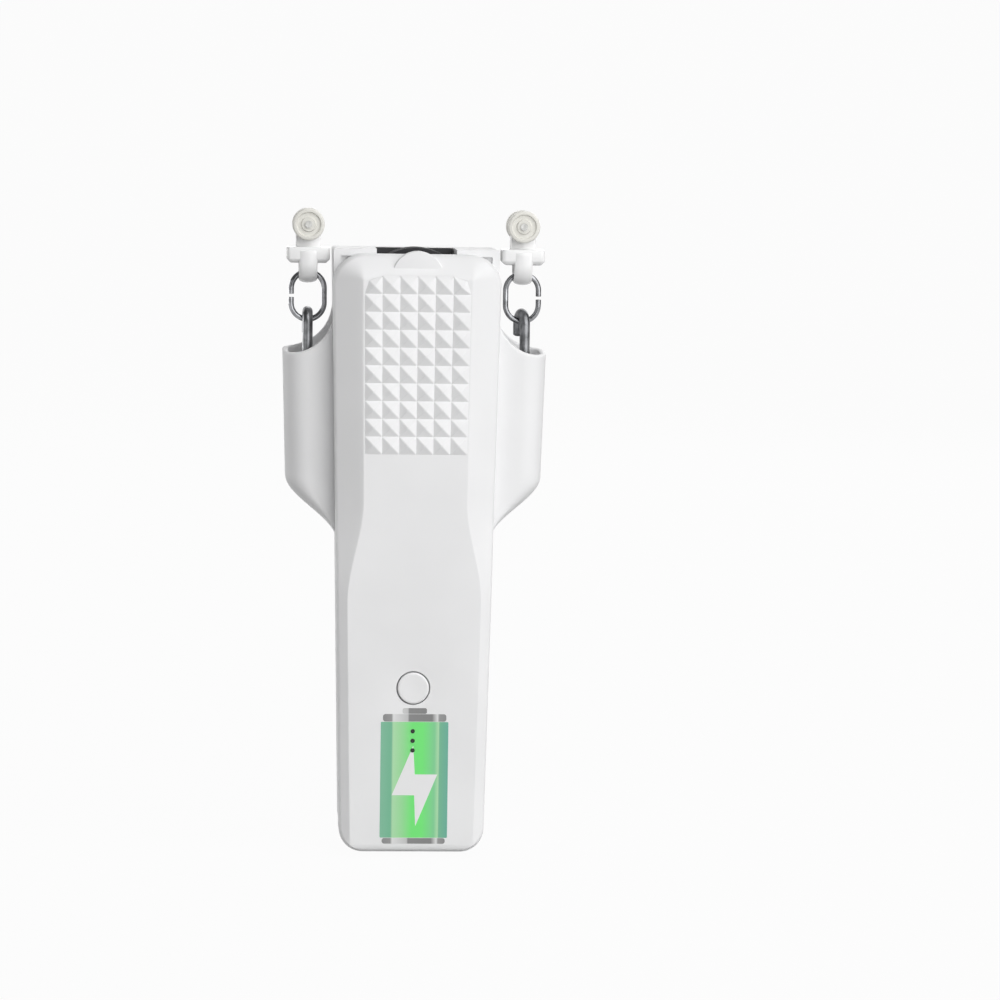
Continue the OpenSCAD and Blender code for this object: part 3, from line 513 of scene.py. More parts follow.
def drawn_metal(n, value, rough):
    """Drawn metal: fine streaks along the wire and darker spots."""
    lines, spots = n.noise(4200.0, 3.0, (1, 1, 0.12)), n.noise(420.0, 4.0)
    n.set(Base_Color=n.ramp(spots, [(0.36, shade(value, 0.55)), (0.62, value)]), Metallic=1.0,
          Roughness=n.span(lines, rough - 0.06, rough + 0.1))
    n.bump(lines, 0.12, 0.00005)


def lacquer(n, value, copper):
    """Board lacquer with copper lines that show through."""
    wave = n.add("ShaderNodeTexWave", Vector=n.place(), Scale=220.0, Distortion=6.0, Detail=1.0)
    lines = wave.outputs["Fac"]
    n.set(Base_Color=n.ramp(lines, [(0.55, value), (0.66, copper)]), Roughness=0.32)
    n.bump(lines, 0.1, 0.0001)


MARK_MIDDLE = 0.5
MARK_HALF = 9.45
GREEN_EDGE, GREEN_PALE = (0.17, 0.47, 0.29), (0.42, 0.72, 0.42)
GREEN_BANDS = ((0.0, (0.22, 0.50, 0.34)), (1.0, (0.14, 0.42, 0.32)), (0.16, GREEN_EDGE),
               (0.185, GREEN_PALE), (0.34, (0.30, 0.72, 0.31)), (0.47, None), (0.62, None),
               (0.80, (0.22, 0.62, 0.30)), (0.855, GREEN_PALE), (0.875, GREEN_EDGE))
GREY_BANDS = tuple((at, (grey, grey, grey)) for at, grey in (
    (0.0, 0.24), (1.0, 0.24), (0.16, 0.3), (0.185, 0.74), (0.40, 0.55), (0.42, 0.24),
    (0.76, 0.22), (0.84, 0.74), (0.865, 0.3)))


def ink(n, value, bands):
    """Printed ink with the upright bands of a round cell, read across the charge mark."""
    x = n.add("ShaderNodeSeparateXYZ", Vector=n.place()).outputs["X"]
    at = n.span(x, 0.0, 1.0, (MARK_MIDDLE - MARK_HALF) * MM, (MARK_MIDDLE + MARK_HALF) * MM)
    n.set(Base_Color=n.ramp(at, [(place, band or value) for place, band in bands]),
          Roughness=n.span(n.noise(2600.0), 0.3, 0.42))


# By slot or look: kind, material, colour or the finish that holds it, and the kind's other values
FINISH = {
    "white_shell": (moulded, "satin_white", "shell", 0.5, 2600.0, 0.05, 0.3),
    "runner_white": (moulded, "runner_gloss_white", "runner", 0.2, 1400.0, 0.02),
    "nylon": (moulded, "milky_nylon", (0.74, 0.73, 0.68), 0.36, 1800.0, 0.06),
    "black_rubber": (moulded, "tyre_rubber", "rubber", 0.68, 3200.0, 0.25, 0.35),
    # Black moulding of the dark parts. On the wheel fork's raised surround round the wheel slot this
    # black is painted shade: it stands in for the shadow that the rail casts into the slot.
    "black_plastic": (moulded, "black_moulding", (0.03, 0.03, 0.032), 0.45),
    "grey_plastic": (moulded, "grey_moulding", (0.42, 0.42, 0.43), 0.5),
    "smoked_plastic": (moulded, "smoked_lens", (0.012, 0.02, 0.014), 0.12, 900.0, 0.01),
    "led_green": (moulded, "indicator_chip", (0.35, 0.72, 0.4), 0.3),
    "cell_wrap": (moulded, "shrink_wrap", (0.045, 0.16, 0.52), 0.3, 700.0, 0.05),
    "board_green": (lacquer, "board_lacquer", (0.012, 0.115, 0.05), (0.03, 0.2, 0.09)),
    "zinc_steel": (drawn_metal, "zinc_plate", (0.62, 0.62, 0.6), 0.3),
    "dark_steel": (drawn_metal, "hook_steel", "hook", 0.33),
    "bright_steel": (drawn_metal, "link_steel", "link", 0.1),
    "brass": (drawn_metal, "turned_brass", (0.72, 0.52, 0.22), 0.3),
    "green_ink": (ink, "charge_ink", "charge", GREEN_BANDS),
    "grey_ink": (ink, "charge_grey_ink", None, GREY_BANDS),
}


def finish(look):
    """The material of a slot or look, made at its first use."""
    kind, name, value, *rest = FINISH[look]
    if name not in bpy.data.materials:
        if isinstance(value, str):
            value = tuple(getattr(bpy.context.scene.robot_finish, value))
        kind(Nodes(bpy.data.materials.new(name)), value, *rest)
    return bpy.data.materials[name]


# Shapes of the body


def body_half(z):
    """Half the cover's width at a height: straight sides that draw in towards the foot."""
    c = Sizes("cover")
    return c.top_half + (c.foot_half - c.top_half) * (c.top - z) / (c.top - FOOT_Z)


def face_half(z):
    """Half the raised face's width: narrow at the grip, then a smooth flare to the foot."""
    c = Sizes("cover")
    t = smooth((c.flare_top - z) / (c.flare_top - c.flare_end))
    return c.face_half / c.top_half * body_half(z) * (1 - t) + (body_half(z) - c.rim) * t


def side_depth(loop):
    """Depth where the bevel meets the cover's side: the face plus the bevel's drop."""
    z = loop[..., 1]
    return FACE_Y + Sizes("cover").bevel_slope * (body_half(z) - face_half(z))


def cover_loop(inset):
    """Outline of the front cover drawn in by inset."""
    c = Sizes("cover")
    return upright_loop(lambda z: body_half(z) - inset, c.top - inset, FOOT_Z + inset,
                        max(c.top_corner - inset, LEAST_CORNER),
                        max(c.foot_corner - inset, LEAST_CORNER))


FACE_CORNER = 1.6


def face_loop(inset):
    """Outline of the flat part of the face drawn in by inset."""
    c = Sizes("cover")
    return upright_loop(lambda z: face_half(z) - inset, c.top - c.crown - inset,
                        FOOT_Z + c.foot_round + inset, FACE_CORNER,
                        max(c.foot_corner - c.foot_round - inset, LEAST_CORNER))


BEVEL_SOFT, CROWN_SOFT = 0.05, 0.5


def cover_depth(loop):
    """Depth of the cover's front surface at front view points.

    The bevel falls at one slope from the face's edge to the cover's side, with a start that is
    softer towards the top. The whole rise fades as 1 - (1 - t) ** crown_curve over the crown,
    and over a quarter ellipse at the foot.
    """
    c = Sizes("cover")
    x, z = np.abs(loop[..., 0]), loop[..., 1]
    crown = np.clip((c.top - z) / c.crown, 0, 1)
    foot = np.clip((z - FOOT_Z) / c.foot_round, 0, 1)
    rise = np.minimum(1 - (1 - crown) ** c.crown_curve, np.sqrt(1 - (1 - foot) ** 2))
    edge, soft = face_half(z), BEVEL_SOFT + CROWN_SOFT * (1 - crown)
    q = np.clip((x - edge) / (body_half(z) - edge), 0, 1)
    fall = (np.sqrt(q * q + soft * soft) - soft) / (np.sqrt(1 + soft * soft) - soft)
    return side_depth(loop) + (FACE_Y - side_depth(loop)) * rise * (1 - fall)


GRIP_CUT = 0.25


def grip_pitch():
    """Spacing of the pyramids, from the grip's height and its rows."""
    return (GRIP.high[2] - GRIP.low[2]) / Sizes("grip").rows


def grip_across(columns, z):
    """Place across the grip, in columns from the middle; the columns draw in with the body."""
    return columns * grip_pitch() * body_half(z) / body_half(GRIP.high[2])


def grip_border():
    """Outline of the grip pad, with its two top corners drawn in."""
    pitch, side = grip_pitch(), Sizes("grip").columns / 2
    top, foot, cut = GRIP.high[2], GRIP.low[2], pitch * GRIP_CUT
    right = np.array([[grip_across(side - 1, top), top], [grip_across(side, top) - cut, top - cut],
                      [grip_across(side, top - pitch), top - pitch],
                      [grip_across(side, foot), foot]])
    return chain(right, right[::-1] * [-1, 1])


def hole_wall(x, z, radius, floor, lip, count=48, face=FACE_Y, inward=1):
    """Wall of a round hole in a flat face, with a rounded lip, down to a floor depth."""
    rim, edge = ring(x, z, radius + lip, count), ring(x, z, radius, count)
    return rows(bend(at_depth(rim, face), at_depth(edge, face),
                     at_depth(edge, face + inward * lip), 4), at_depth(edge, floor))


def plate(loop, low, high):
    """Thin closed plate of a front view loop between two depths."""
    return patch(rows(at_depth(loop, low), at_depth(loop, high)))


LED_HALF = 0.4
LIGHT_HOLE, LIGHT_LIP = 0.65, 0.12
BUTTON_HOLE, BUTTON_LIP = 4.7, 0.25
JOINT_LIP = 0.3
INNER_INSET = 1


def light_heights():
    """Heights of the three light points, top to foot, from the indicators' box."""
    leds = Box("status_leds")
    return np.linspace(leds.high[2] - LED_HALF, leds.low[2] + LED_HALF, 3)


class ROBOT_OT_front_cover(bpy.types.Operator):
    """Front cover: loops blended from its side to the face at cover_depth, with tab and holes"""
    bl_idname = "robot.front_cover"
    bl_label = "Front cover"

    def execute(self, context):
        c = Sizes("cover")
        outer, near, flat = cover_loop(0), cover_loop(c.edge), face_loop(0)
        inner, side_top = cover_loop(c.wall), side_depth(outer)
        t = (1 - np.cos(np.linspace(0, math.pi, 26)))[1:, None, None] / 2
        field = near + (flat - near) * t
        depth = cover_depth(field)
        depth[-1] = FACE_Y
        joint = bend(at_depth(cover_loop(JOINT_LIP), SPLIT_Y), at_depth(outer, SPLIT_Y),
                     at_depth(outer, SPLIT_Y - JOINT_LIP), 4)
        edge = bend(at_depth(outer, side_top + c.edge), at_depth(outer, side_top),
                    at_depth(near, cover_depth(near)), 8)
        front = rows(at_depth(inner, SPLIT_Y), joint, edge, at_depth(field, depth))
        inner_y, seat = FACE_Y + c.face_wall, GRIP.high[1]
        inside = rows(at_depth(inner, SPLIT_Y), at_depth(inner, side_top + c.wall),
                      at_depth(face_loop(INNER_INSET), inner_y))
        recess = rows(at_depth(grip_border(), FACE_Y), at_depth(grip_border(), seat))
        holes = [hole_wall(0, BUTTON_Z, BUTTON_HOLE, inner_y, BUTTON_LIP)]
        holes += [hole_wall(0, z, LIGHT_HOLE, inner_y, LIGHT_LIP, 24) for z in light_heights()]
        patches = [patch(g) for g in [front, inside, recess, *holes, self.tab(c)]]
        piece("front_cover_shell", "housing", "white_shell", patches, ["front_cover"],
              [(1, FACE_Y), (1, inner_y), (1, seat)])
        return {"FINISHED"}

    def tab(self, c):
        """Thumb tab: a circle with a flat front that runs out into the crown, its edge round."""
        top, sink, root, soft, middle_share = COVER.high[2], 1.0, 5.8, 0.5, 0.6
        y0 = float(cover_depth(np.array([0, top - c.tab_height])))
        spread = math.degrees(math.acos((c.tab_radius - c.tab_height - sink) / c.tab_radius))
        edge = arc(0, top - c.tab_radius, c.tab_radius, 90 - spread, 90 + spread, 48)
        middle = np.array([0, top - c.tab_height * middle_share])
        drawn = middle + (edge - middle) * (1 - soft / c.tab_radius)
        return rows(at_depth(edge, FACE_Y + root), at_depth(edge, y0 + soft),
                    bend(at_depth(edge, y0 + soft), at_depth(edge, y0), at_depth(drawn, y0), 7))


class ROBOT_OT_grip(bpy.types.Operator):
    """Grip pad: each cell falls with the larger of its two distances from the cell's middle"""
    bl_idname = "robot.grip"
    bl_label = "Grip"

    def execute(self, context):
        g = Sizes("grip")
        steps, soft = 16, g.soft
        top, pitch, height = GRIP.high[2], grip_pitch(), FACE_Y - GRIP.low[1]
        a, b = np.meshgrid(np.arange(g.columns * steps + 1) / steps,
                           np.arange(g.rows * steps + 1) / steps)
        steep = np.maximum(np.abs(2 * (a % 1) - 1), np.abs(2 * (b % 1) - 1))
        full = math.sqrt(1 + soft * soft)
        rise = (full - np.sqrt(steep ** 2 + soft ** 2)) / (full - soft)
        cut, drop = pitch * GRIP_CUT, np.clip(1 - b, 0, 1)
        pull = np.clip(1 - a, 0, 1) * drop - np.clip(1 - (g.columns - a), 0, 1) * drop
        x = grip_across(a - g.columns / 2, top - b * pitch) + cut * pull
        z = top - b * pitch - cut * np.abs(pull)
        front = dots(x, FACE_Y - height * rise, z)
        border = chain(front[0, :-1], front[:-1, -1], front[-1, :0:-1], front[:0:-1, 0])
        sides = rows(*(at_depth(border[:, ::2], y) for y in (FACE_Y, GRIP.high[1])))
        piece("grip_pyramids", "housing", "white_shell", [patch(front, wrap=False), patch(sides)],
              ["grip_pad"], [(1, GRIP.high[1])], sharp=14)
        return {"FINISHED"}


CHEEK_CORNER, CHEEK_MARGIN, CHEEK_LEAST = 0.9, 1.2, 0.3


def rear_loop(inset):
    """Outline of the rear housing drawn in by inset, with marks at the wheel slot's ends."""
    c, h = Sizes("cover"), Sizes("housing")
    reach, slot = body_half(REAR.high[2]) - h.step - CHEEK_MARGIN, h.slot_half
    marks = chain(np.linspace(reach, slot, 8), np.linspace(slot, -slot, 24)[1:-1],
                  np.linspace(-slot, -reach, 8))
    return upright_loop(lambda z: body_half(z) - h.step - inset, REAR.high[2] - inset,
                        REAR.low[2] + inset, max(CHEEK_CORNER - inset, CHEEK_LEAST),
                        max(c.foot_corner - h.step - inset, LEAST_CORNER),
                        np.clip(marks, -reach + inset, reach - inset))


SCREW_HEAD, SCREW_SHANK = 2.4, 1.2
SCREW_INSET = 6.7
RECESS_RADIUS, RECESS_LIP = 2.45, 0.3
PAD_REACH, PAD_FADE = 6.5, 3
SHOULDER_DEPTH = 0.8
ON_LINE = 1e-6


def screw_places():
    """Middles of the four back screws, as x and z, from the screws' box."""
    upper = SCREWS.high[0] - SCREW_HEAD, SCREWS.high[2] - SCREW_HEAD
    lower = Sizes("cover").foot_half - SCREW_INSET, SCREWS.low[2] + SCREW_HEAD
    return [(s * x, z) for x, z in (upper, lower) for s in (LEFT, RIGHT)]


class ROBOT_OT_rear_housing(bpy.types.Operator):
    """Rear housing: a tray that draws in over a quarter circle, with wheel slot and recesses"""
    bl_idname = "robot.rear_housing"
    bl_label = "Rear housing"

    def execute(self, context):
        c, h = Sizes("cover"), Sizes("housing")
        outer, inner, drawn = rear_loop(0), rear_loop(c.wall), rear_loop(h.back_round)
        x, z = outer.T
        tangent = np.roll(outer, -1, 0) - np.roll(outer, 1, 0)
        sideways = smooth(np.abs(tangent[:, 1]) / np.linalg.norm(tangent, axis=1))
        pad = smooth((PAD_REACH - np.abs(z - screw_places()[0][1])) / PAD_FADE)
        radius = h.end_round + (h.back_round - h.end_round) * sideways
        radius += (h.pad_round - radius) * pad * sideways
        depths = [SPLIT_Y, (SPLIT_Y + h.slot_end) / 2, h.slot_end, BACK_Y - h.back_round]
        wall, lining = (np.stack([at_depth(loop, y) for y in depths]) for loop in (outer, inner))
        marked = (np.abs(z - REAR.high[2]) < ON_LINE) & (np.abs(x) < h.slot_half + ON_LINE)
        keep = np.ones((len(depths) - 1, len(outer)), bool)
        keep[:2] = ~(marked & np.roll(marked, -1))
        turn = np.linspace(0, math.pi / 2, 9)[:, None]
        share = radius * (1 - np.cos(turn)) / h.back_round
        edge = at_depth(outer + (drawn - outer) * share[..., None],
                        BACK_Y - radius + radius * np.sin(turn))
        rim = rows(at_depth(outer, SPLIT_Y), at_depth(inner, SPLIT_Y))
        lid_y, floor = BACK_Y - c.wall, BACK_Y - h.screw_recess
        patches = [shell(wall, lining, keep), patch(rim, keep=keep[:1]),
                   patch(rows(wall[-1], edge)), patch(rows(lining[-1], at_depth(inner, lid_y)))]
        patches += [plate(self.shoulder(side), SPLIT_Y + SHOULDER_DEPTH, SPLIT_Y + c.wall)
                    for side in (LEFT, RIGHT)]
        for place in screw_places():
            hole = hole_wall(*place, RECESS_RADIUS, floor, RECESS_LIP, face=BACK_Y, inward=-1)
            patches.append(patch(rows(hole, at_depth(ring(*place, SCREW_SHANK), floor))))
        piece("rear_housing_shell", "housing", "white_shell", patches, ["rear_housing"],
              [(1, BACK_Y), (1, lid_y)])
        return {"FINISHED"}

    def shoulder(self, side):
        """Loop that closes the corner between the square cheek and the cover's round corner."""
        c, h = Sizes("cover"), Sizes("housing")
        gap, overlap = 0.1, 2
        inset, corner_z = h.step + gap, c.top - c.top_corner
        top, low = REAR.high[2] - inset + h.step, corner_z - overlap
        inner = arc(body_half(corner_z) - c.top_corner, corner_z, c.top_corner - c.wall, 0, 90, 16)
        loop = chain([[h.slot_half, top], [body_half(top) - inset, top],
                      [body_half(low) - inset, low], [body_half(low) - c.wall, low]],
                     inner, [[h.slot_half, c.top - c.wall]])
        return loop * [side, 1]


def pocket_reach(z):
    """Reach of a pocket from the middle: a slight draw, then a flowing line back to the body."""
    p, h = Sizes("pocket"), Sizes("housing")
    end = POCKET.low[2]
    reach = -POCKET.low[0] - p.draw * np.clip((p.draft_top - z) / (p.draft_top - p.turn), 0, 1)
    t = smooth((p.turn - z) / (p.turn - end))
    return reach * (1 - t) + (body_half(end) - h.step) * t


def pocket_plan(inset):
    """Plan of a pocket from back to front: share of the straight run, corner cosine, depth."""
    p = Sizes("pocket")
    y0, y1, r = POCKET.low[1] + p.corner, POCKET.high[1] - p.corner, p.corner - inset
    run, flat = np.linspace(0, 1, 12) ** 2, np.ones(6)
    a = np.radians(np.linspace(90, 0, 16)[1:])
    full = np.ones(len(a))
    share = chain(run, full, flat, full, run[::-1])
    corner = chain(0 * run, r * np.cos(a), r * flat, r * np.cos(a)[::-1], 0 * run)
    depth = chain(np.full(len(run), y1 + r), y1 + r * np.sin(a), between(y1, y0, len(flat)),
                  y0 - r * np.sin(a)[::-1], np.full(len(run), y0 - r))
    return share, corner, depth


POCKET_ROOT = 0.35


def pocket_wall(side, inset, t):
    """One face of a pocket's wall as a grid, from the scalloped rim down to the body.

    Each column follows one point of the plan. Its top lies on the scallop's circle, which falls
    towards the front, and its distance from the body scales with the pocket's reach at each
    height.
    """
    p, h = Sizes("pocket"), Sizes("housing")
    share, corner, depth = pocket_plan(inset)

    def across(z):
        body = body_half(z) - h.step - POCKET_ROOT
        span = np.maximum(pocket_reach(z - inset) - inset - body, 0)
        whole_span = pocket_reach(p.draft_top) - inset - body
        straight = whole_span - (p.corner - inset)
        return body + (straight * share + corner) * span / whole_span

    x = across(np.full(len(share), p.draft_top))
    middle = -POCKET.low[0] - p.scallop_side
    fall = math.tan(p.scallop_tilt) * (depth - POCKET.middle[1])
    arch = np.sqrt(np.maximum(p.scallop ** 2 - (x - middle) ** 2, 0))
    rim = p.scallop_z + fall - arch - p.lip
    z = rim + (POCKET.low[2] + inset - rim) * t[:, None]
    return dots(side * across(z), depth, z)


def hook_turn(side):
    """Turn of a hook about its upright line; only the right one is turned."""
    return Sizes("kit").hook_turn if side == RIGHT else 0.0


class ROBOT_OT_pockets(bpy.types.Operator):
    """Side pockets with a scalloped, rounded rim and the hook's guide shelf"""
    bl_idname = "robot.pockets"
    bl_label = "Side pockets"

    def execute(self, context):
        p, k = Sizes("pocket"), Sizes("kit")
        shelf_seat, shelf_root, hook_fit = 0.3, 0.75, 0.15
        t = np.linspace(0, 1, 60)
        turn = np.linspace(0, math.pi, 11)[1:-1, None, None]
        levels = p.shelf, p.shelf - p.shelf_wall
        share, corner, depth = pocket_plan(p.wall - shelf_seat)
        body = body_half(p.shelf) - shelf_root
        straight = pocket_reach(p.shelf) - p.corner - body
        for side, name in SIDE_NAMES.items():
            outer, inner = pocket_wall(side, 0, t), pocket_wall(side, p.wall, t)
            middle, reach = (outer[0] + inner[0]) / 2, (outer[0] - inner[0]) / 2
            lip = middle + reach * np.cos(turn) + np.array([0, 0, p.lip]) * np.sin(turn)
            edge = dots(side * (body + straight * share + corner), depth)
            x = side * HANG_X + k.hook_bend * math.sin(hook_turn(side))
            hole = ring(x, -k.hook_bend * math.cos(hook_turn(side)), k.hook_wire + hook_fit, 32)
            patches = [patch(rows(outer[::-1], lip, inner), wrap=False)]
            patches += [patch(rows(*(at_height(loop, z) for z in levels))) for loop in (edge, hole)]
            piece("pocket_wall_" + name, "housing", "white_shell", patches, ["pocket_" + name],
                  [(2, z) for z in levels])
        return {"FINISHED"}


class ROBOT_OT_button(bpy.types.Operator):
    """Push button: a profile with a soft edge and a parabolic dish, turned about its axis"""
    bl_idname = "robot.button"
    bl_label = "Button"

    def execute(self, context):
        front, back, flange = BUTTON.low[1], BUTTON.high[1], BUTTON.high[0]
        inner = FACE_Y + Sizes("cover").face_wall
        r, stem, soft, dip, brim = 4.4, 1.5, 0.6, 0.14, 1.2
        dish = np.linspace(0, 1, 9)[:, None] * [r - soft, 0] + [0, front]
        dish[:, 1] += dip * (1 - (dish[:, 0] / (r - soft)) ** 2)
        profile = chain(dish, fillet((r - soft, front), (r, front), (r, front + soft)),
                        [(r, inner), (flange, inner), (flange, inner + brim),
                         (stem, inner + brim), (stem, back), (0, back)])
        patches = [patch(lathe(profile, 0, BUTTON_Z))]
        piece("push_button", "button", "white_shell", patches, ["button"])
        return {"FINISHED"}


class ROBOT_OT_screws(bpy.types.Operator):
    """Back screws: heads domed by a power of the radius, less a cross of two soft bars"""
    bl_idname = "robot.screws"
    bl_label = "Back screws"

    def execute(self, context):
        head, shank, thick, point = SCREW_HEAD, SCREW_SHANK, 2, 0.1
        dome, dome_power, cross_depth = 0.5, 2.6, 0.8
        cross_half, cross_fade, cross_reach, end_fade = 0.42, 0.16, 1.55, 0.3
        top, tip, rim, rim_middle = SCREWS.high[1], SCREWS.low[1], 0.3, 0.12
        r = chain(np.linspace(0, head - rim, 22), [head - rim_middle, head])[:, None]
        a = np.linspace(0, 2 * math.pi, 96, endpoint=False)
        x, z = r * np.cos(a), r * np.sin(a)
        across = np.minimum(np.abs(x), np.abs(z))
        along = np.maximum(np.abs(x), np.abs(z))
        cross = smooth((cross_half - across) / cross_fade)
        cross = cross * smooth((cross_reach - along) / end_fade)
        crown = top - dome * (r / head) ** dome_power - cross_depth * cross
        stem = [(head, top - thick), (shank, top - thick), (shank, tip + 1), (point, tip)]
        patches = [patch(rows(dots(px + x, crown, pz + z), lathe(stem, px, pz, 96)))
                   for px, pz in screw_places()]
        piece("back_screws", "housing", "zinc_steel", patches, ["cover_screws"])
        return {"FINISHED"}


class ROBOT_OT_hooks(bpy.types.Operator):
    """Wire hooks: a circle carried along an upright, a half turn and a short open end"""
    bl_idname = "robot.hooks"
    bl_label = "Hooks"

    def execute(self, context):
        k = Sizes("kit")
        bend_r, end, cap = k.hook_bend, 0.4, 0.45
        low = HOOK.high[2] - k.hook_wire - bend_r
        a = np.radians(np.linspace(180, 0, 40))
        y = chain(np.full(30, -bend_r), bend_r * np.cos(a), np.full(5, bend_r))
        z = chain(np.linspace(HOOK.low[2] + end, low, 31)[:-1], low + bend_r * np.sin(a),
                  np.linspace(low, low - k.hook_tip + k.hook_wire / 2, 6)[1:])
        for side, name in SIDE_NAMES.items():
            cos, sin = math.cos(hook_turn(side)), math.sin(hook_turn(side))
            path = dots(-y * sin, y * cos, z) + [side * HANG_X, 0, 0]
            grid = tube(path, (cos, sin, 0), k.hook_wire, k.hook_wire, cap)
            body = "hook_" + name
            piece("wire_" + body, body, "dark_steel", [patch(grid)], [body])
        return {"FINISHED"}


class ROBOT_OT_springs(bpy.types.Operator):
    """Coil springs that lift the robot: the wire's circle carried along a helix of even rise"""
    bl_idname = "robot.springs"
    bl_label = "Hook springs"

    def execute(self, context):
        k = Sizes("kit")
        wire, turns = k.spring_wire, k.spring_turns
        a = np.linspace(0, 2 * math.pi * turns, 28 * turns + 1)[:, None]
        b = np.linspace(0, 2 * math.pi, 12, endpoint=False)
        for name in SIDE_NAMES.values():
            box = Box("hook_spring_" + name)
            low, high, (x, y) = box.low[2], box.high[2], box.middle[:2]
            r = box.half[0] - wire + wire * np.cos(b)
            rise = np.linspace(low + wire, high - wire, len(a))[:, None]
            coil = dots(x + r * np.cos(a), y + r * np.sin(a), rise + wire * np.sin(b))
            spring = piece("lift_spring_" + name, "housing", "zinc_steel", [patch(coil)],
                           ["hook_spring_" + name])
            1 - k.hook_travel / float(high - low)
            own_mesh(spring)
        return {"FINISHED"}


class ROBOT_OT_links(bpy.types.Operator):
    """Chain links: a circle carried along two half turns and two straights, slit outside"""
    bl_idname = "robot.links"
    bl_label = "Chain links"

    def execute(self, context):
        k = Sizes("kit")
        wire, cap, cap_room = k.link_wire, 0.15, 0.12
        r = LINK.half[0] - wire
        reach = LINK.half[2] - wire - r
        slit = k.link_slit / 2 + cap_room
        foot, crown = arc(0, -reach, r, 0, -180, 40), arc(0, reach, r, 180, 0, 40)
        drop = dots(r, np.linspace(-slit, -reach, 7)[:-1])
        up = dots(-r, between(-reach, reach, 8))
        loop = chain(drop, foot, up, crown, drop[::-1] * [1, -1])
        for side, name in SIDE_NAMES.items():
            path = at_depth(loop * [side, 1] + [side * HANG_X, LINK.middle[2]], 0.0)
            grid = tube(path, (0, 1, 0), wire, wire, cap, 24)
            body = "link_" + name
            piece("oval_" + body, body, "bright_steel", [patch(grid)], [body])
        return {"FINISHED"}


class ROBOT_OT_runners(bpy.types.Operator):
    """Rail runners: a chamfered foot, a strap carried along a half turn, and a round neck"""
    bl_idname = "robot.runners"
    bl_label = "Runners"

    def execute(self, context):
        k = Sizes("kit")
        half_x, half_y, corner = RUNNER.half[0], 5.0, 1.2
        strap_z = RUNNER.low[2] + k.strap_thick / 2 + k.strap_bend
        chamfer, soft, top, under = 1.0, 0.25, -0.3, -k.foot_height
        strap_top, neck_foot, strap_cap = -1.4, -1.0, 0.3
        blunt, bulge = 0.08, 0.07
        levels = [(under, chamfer + soft), (under + blunt, chamfer), (under + chamfer, blunt),
                  (under + chamfer + soft, 0), (top - soft, 0), (top - bulge, bulge), (top, soft)]
        foot = np.stack([at_height(round_rect(half_x - d, half_y - d,
                                              max(corner - d, LEAST_CORNER)), z)
                         for z, d in levels])
        a = np.radians(np.linspace(180, 360, 40))
        side_y = np.full(4, k.strap_bend)
        y = chain(-side_y, k.strap_bend * np.cos(a), side_y)
        rise = np.linspace(strap_z, strap_top, 5)[1:]
        z = chain(rise[::-1], strap_z + k.strap_bend * np.sin(a), rise)

        def neck(inset, depth):
            r = k.neck_width / 2 - inset
            loop = chain(arc(0, ROLLER_Z, r, 0, 180, 32), [[-r, neck_foot], [r, neck_foot]])
            return at_depth(loop, depth)

        cap, edge = k.neck_depth / 2, ((0.5, 0), (0.15, 0.15), (0, 0.5))
        post = rows(*(neck(inset, back - cap) for inset, back in edge),
                    *(neck(inset, cap - back) for inset, back in edge[::-1]))
        for side, name in SIDE_NAMES.items():
            place = np.array([side * HANG_X, 0, 0])
            strap = tube(dots(0, y, z) + place, (1, 0, 0), k.strap_half,
                         k.strap_thick / 2, strap_cap, 36)
            body = "runner_" + name
            piece("rail_" + body, body, "runner_white",
                  [patch(foot + place), patch(strap), patch(post + place)], [body])
        return {"FINISHED"}


class ROBOT_OT_rollers(bpy.types.Operator):
    """Runner wheels: a profile with round tread and dished web, turned about the axle"""
    bl_idname = "robot.rollers"
    bl_label = "Runner wheels"

    def execute(self, context):
        r, out = ROLLERS.half[2], ROLLERS.high[1]
        width, bore, soft, hub, dish, rim, slope = 3.0, 1.02, 0.6, 1.9, 0.5, 1.0, 0.3
        web = np.array([(bore, 0), (hub, 0), (hub + slope, dish), (r - rim - slope, dish),
                        (r - rim, 0)])
        half = chain(web, fillet((r - soft, 0), (r, 0), (r, soft)))
        one = chain(half, half[::-1] * [1, -1] + [0, width], half[:1])
        for side, name in SIDE_NAMES.items():
            patches = [patch(lathe(one + [0, start], side * HANG_X, ROLLER_Z, 64))
                       for start in (out - width, -out)]
            body = "rollers_" + name
            piece("runner_wheels_" + name, body, "nylon", patches, [body])
        return {"FINISHED"}


class ROBOT_OT_tyre(bpy.types.Operator):
    """Rubber tyre: a profile with round shoulders and three grooves, turned about its axle"""
    bl_idname = "robot.tyre"
    bl_label = "Tyre"

    def execute(self, context):
        g = Sizes("kit").groove
        r, z = TYRE.half[2], TYRE.middle[2]
        w, bore, soft, slant = TYRE.high[1], 12.5, 0.9, 0.1
        grooves = [[(r, y - g - slant), (r - g, y - g + slant), (r - g, y + g - slant),
                    (r, y + g + slant)] for y in (-w / 2, 0, w / 2)]
        near = fillet((r - soft, -w), (r, -w), (r, soft - w))
        far = fillet((r, w - soft), (r, w), (r - soft, w))
        profile = chain([(bore, -w)], near, *grooves, far, [(bore, w), (bore, -w)])
        patches = [patch(lathe(profile, 0, z, 144))]
        piece("drive_tyre", "drive_wheel", "black_rubber", patches, ["wheel_tyre"])
        return {"FINISHED"}


# Charge mark, printed low on the face: half width, corner radius, top and foot of its bars
MARK_BODY = (MARK_HALF, 0.3, -132.0, -164.7)
MARK_ENDS = ((MARK_HALF - 0.6, 0.7, -129.8, -131.9), (MARK_HALF - 0.6, 0.7, -164.8, -166.4),
             (3.4, 0.5, -128.1, -129.7))
BOLT = ((0.2, -138.7), (0.7, -146.8), (7.0, -146.8), (1.0, -161.4), (0.6, -152.7), (-5.7, -152.7))


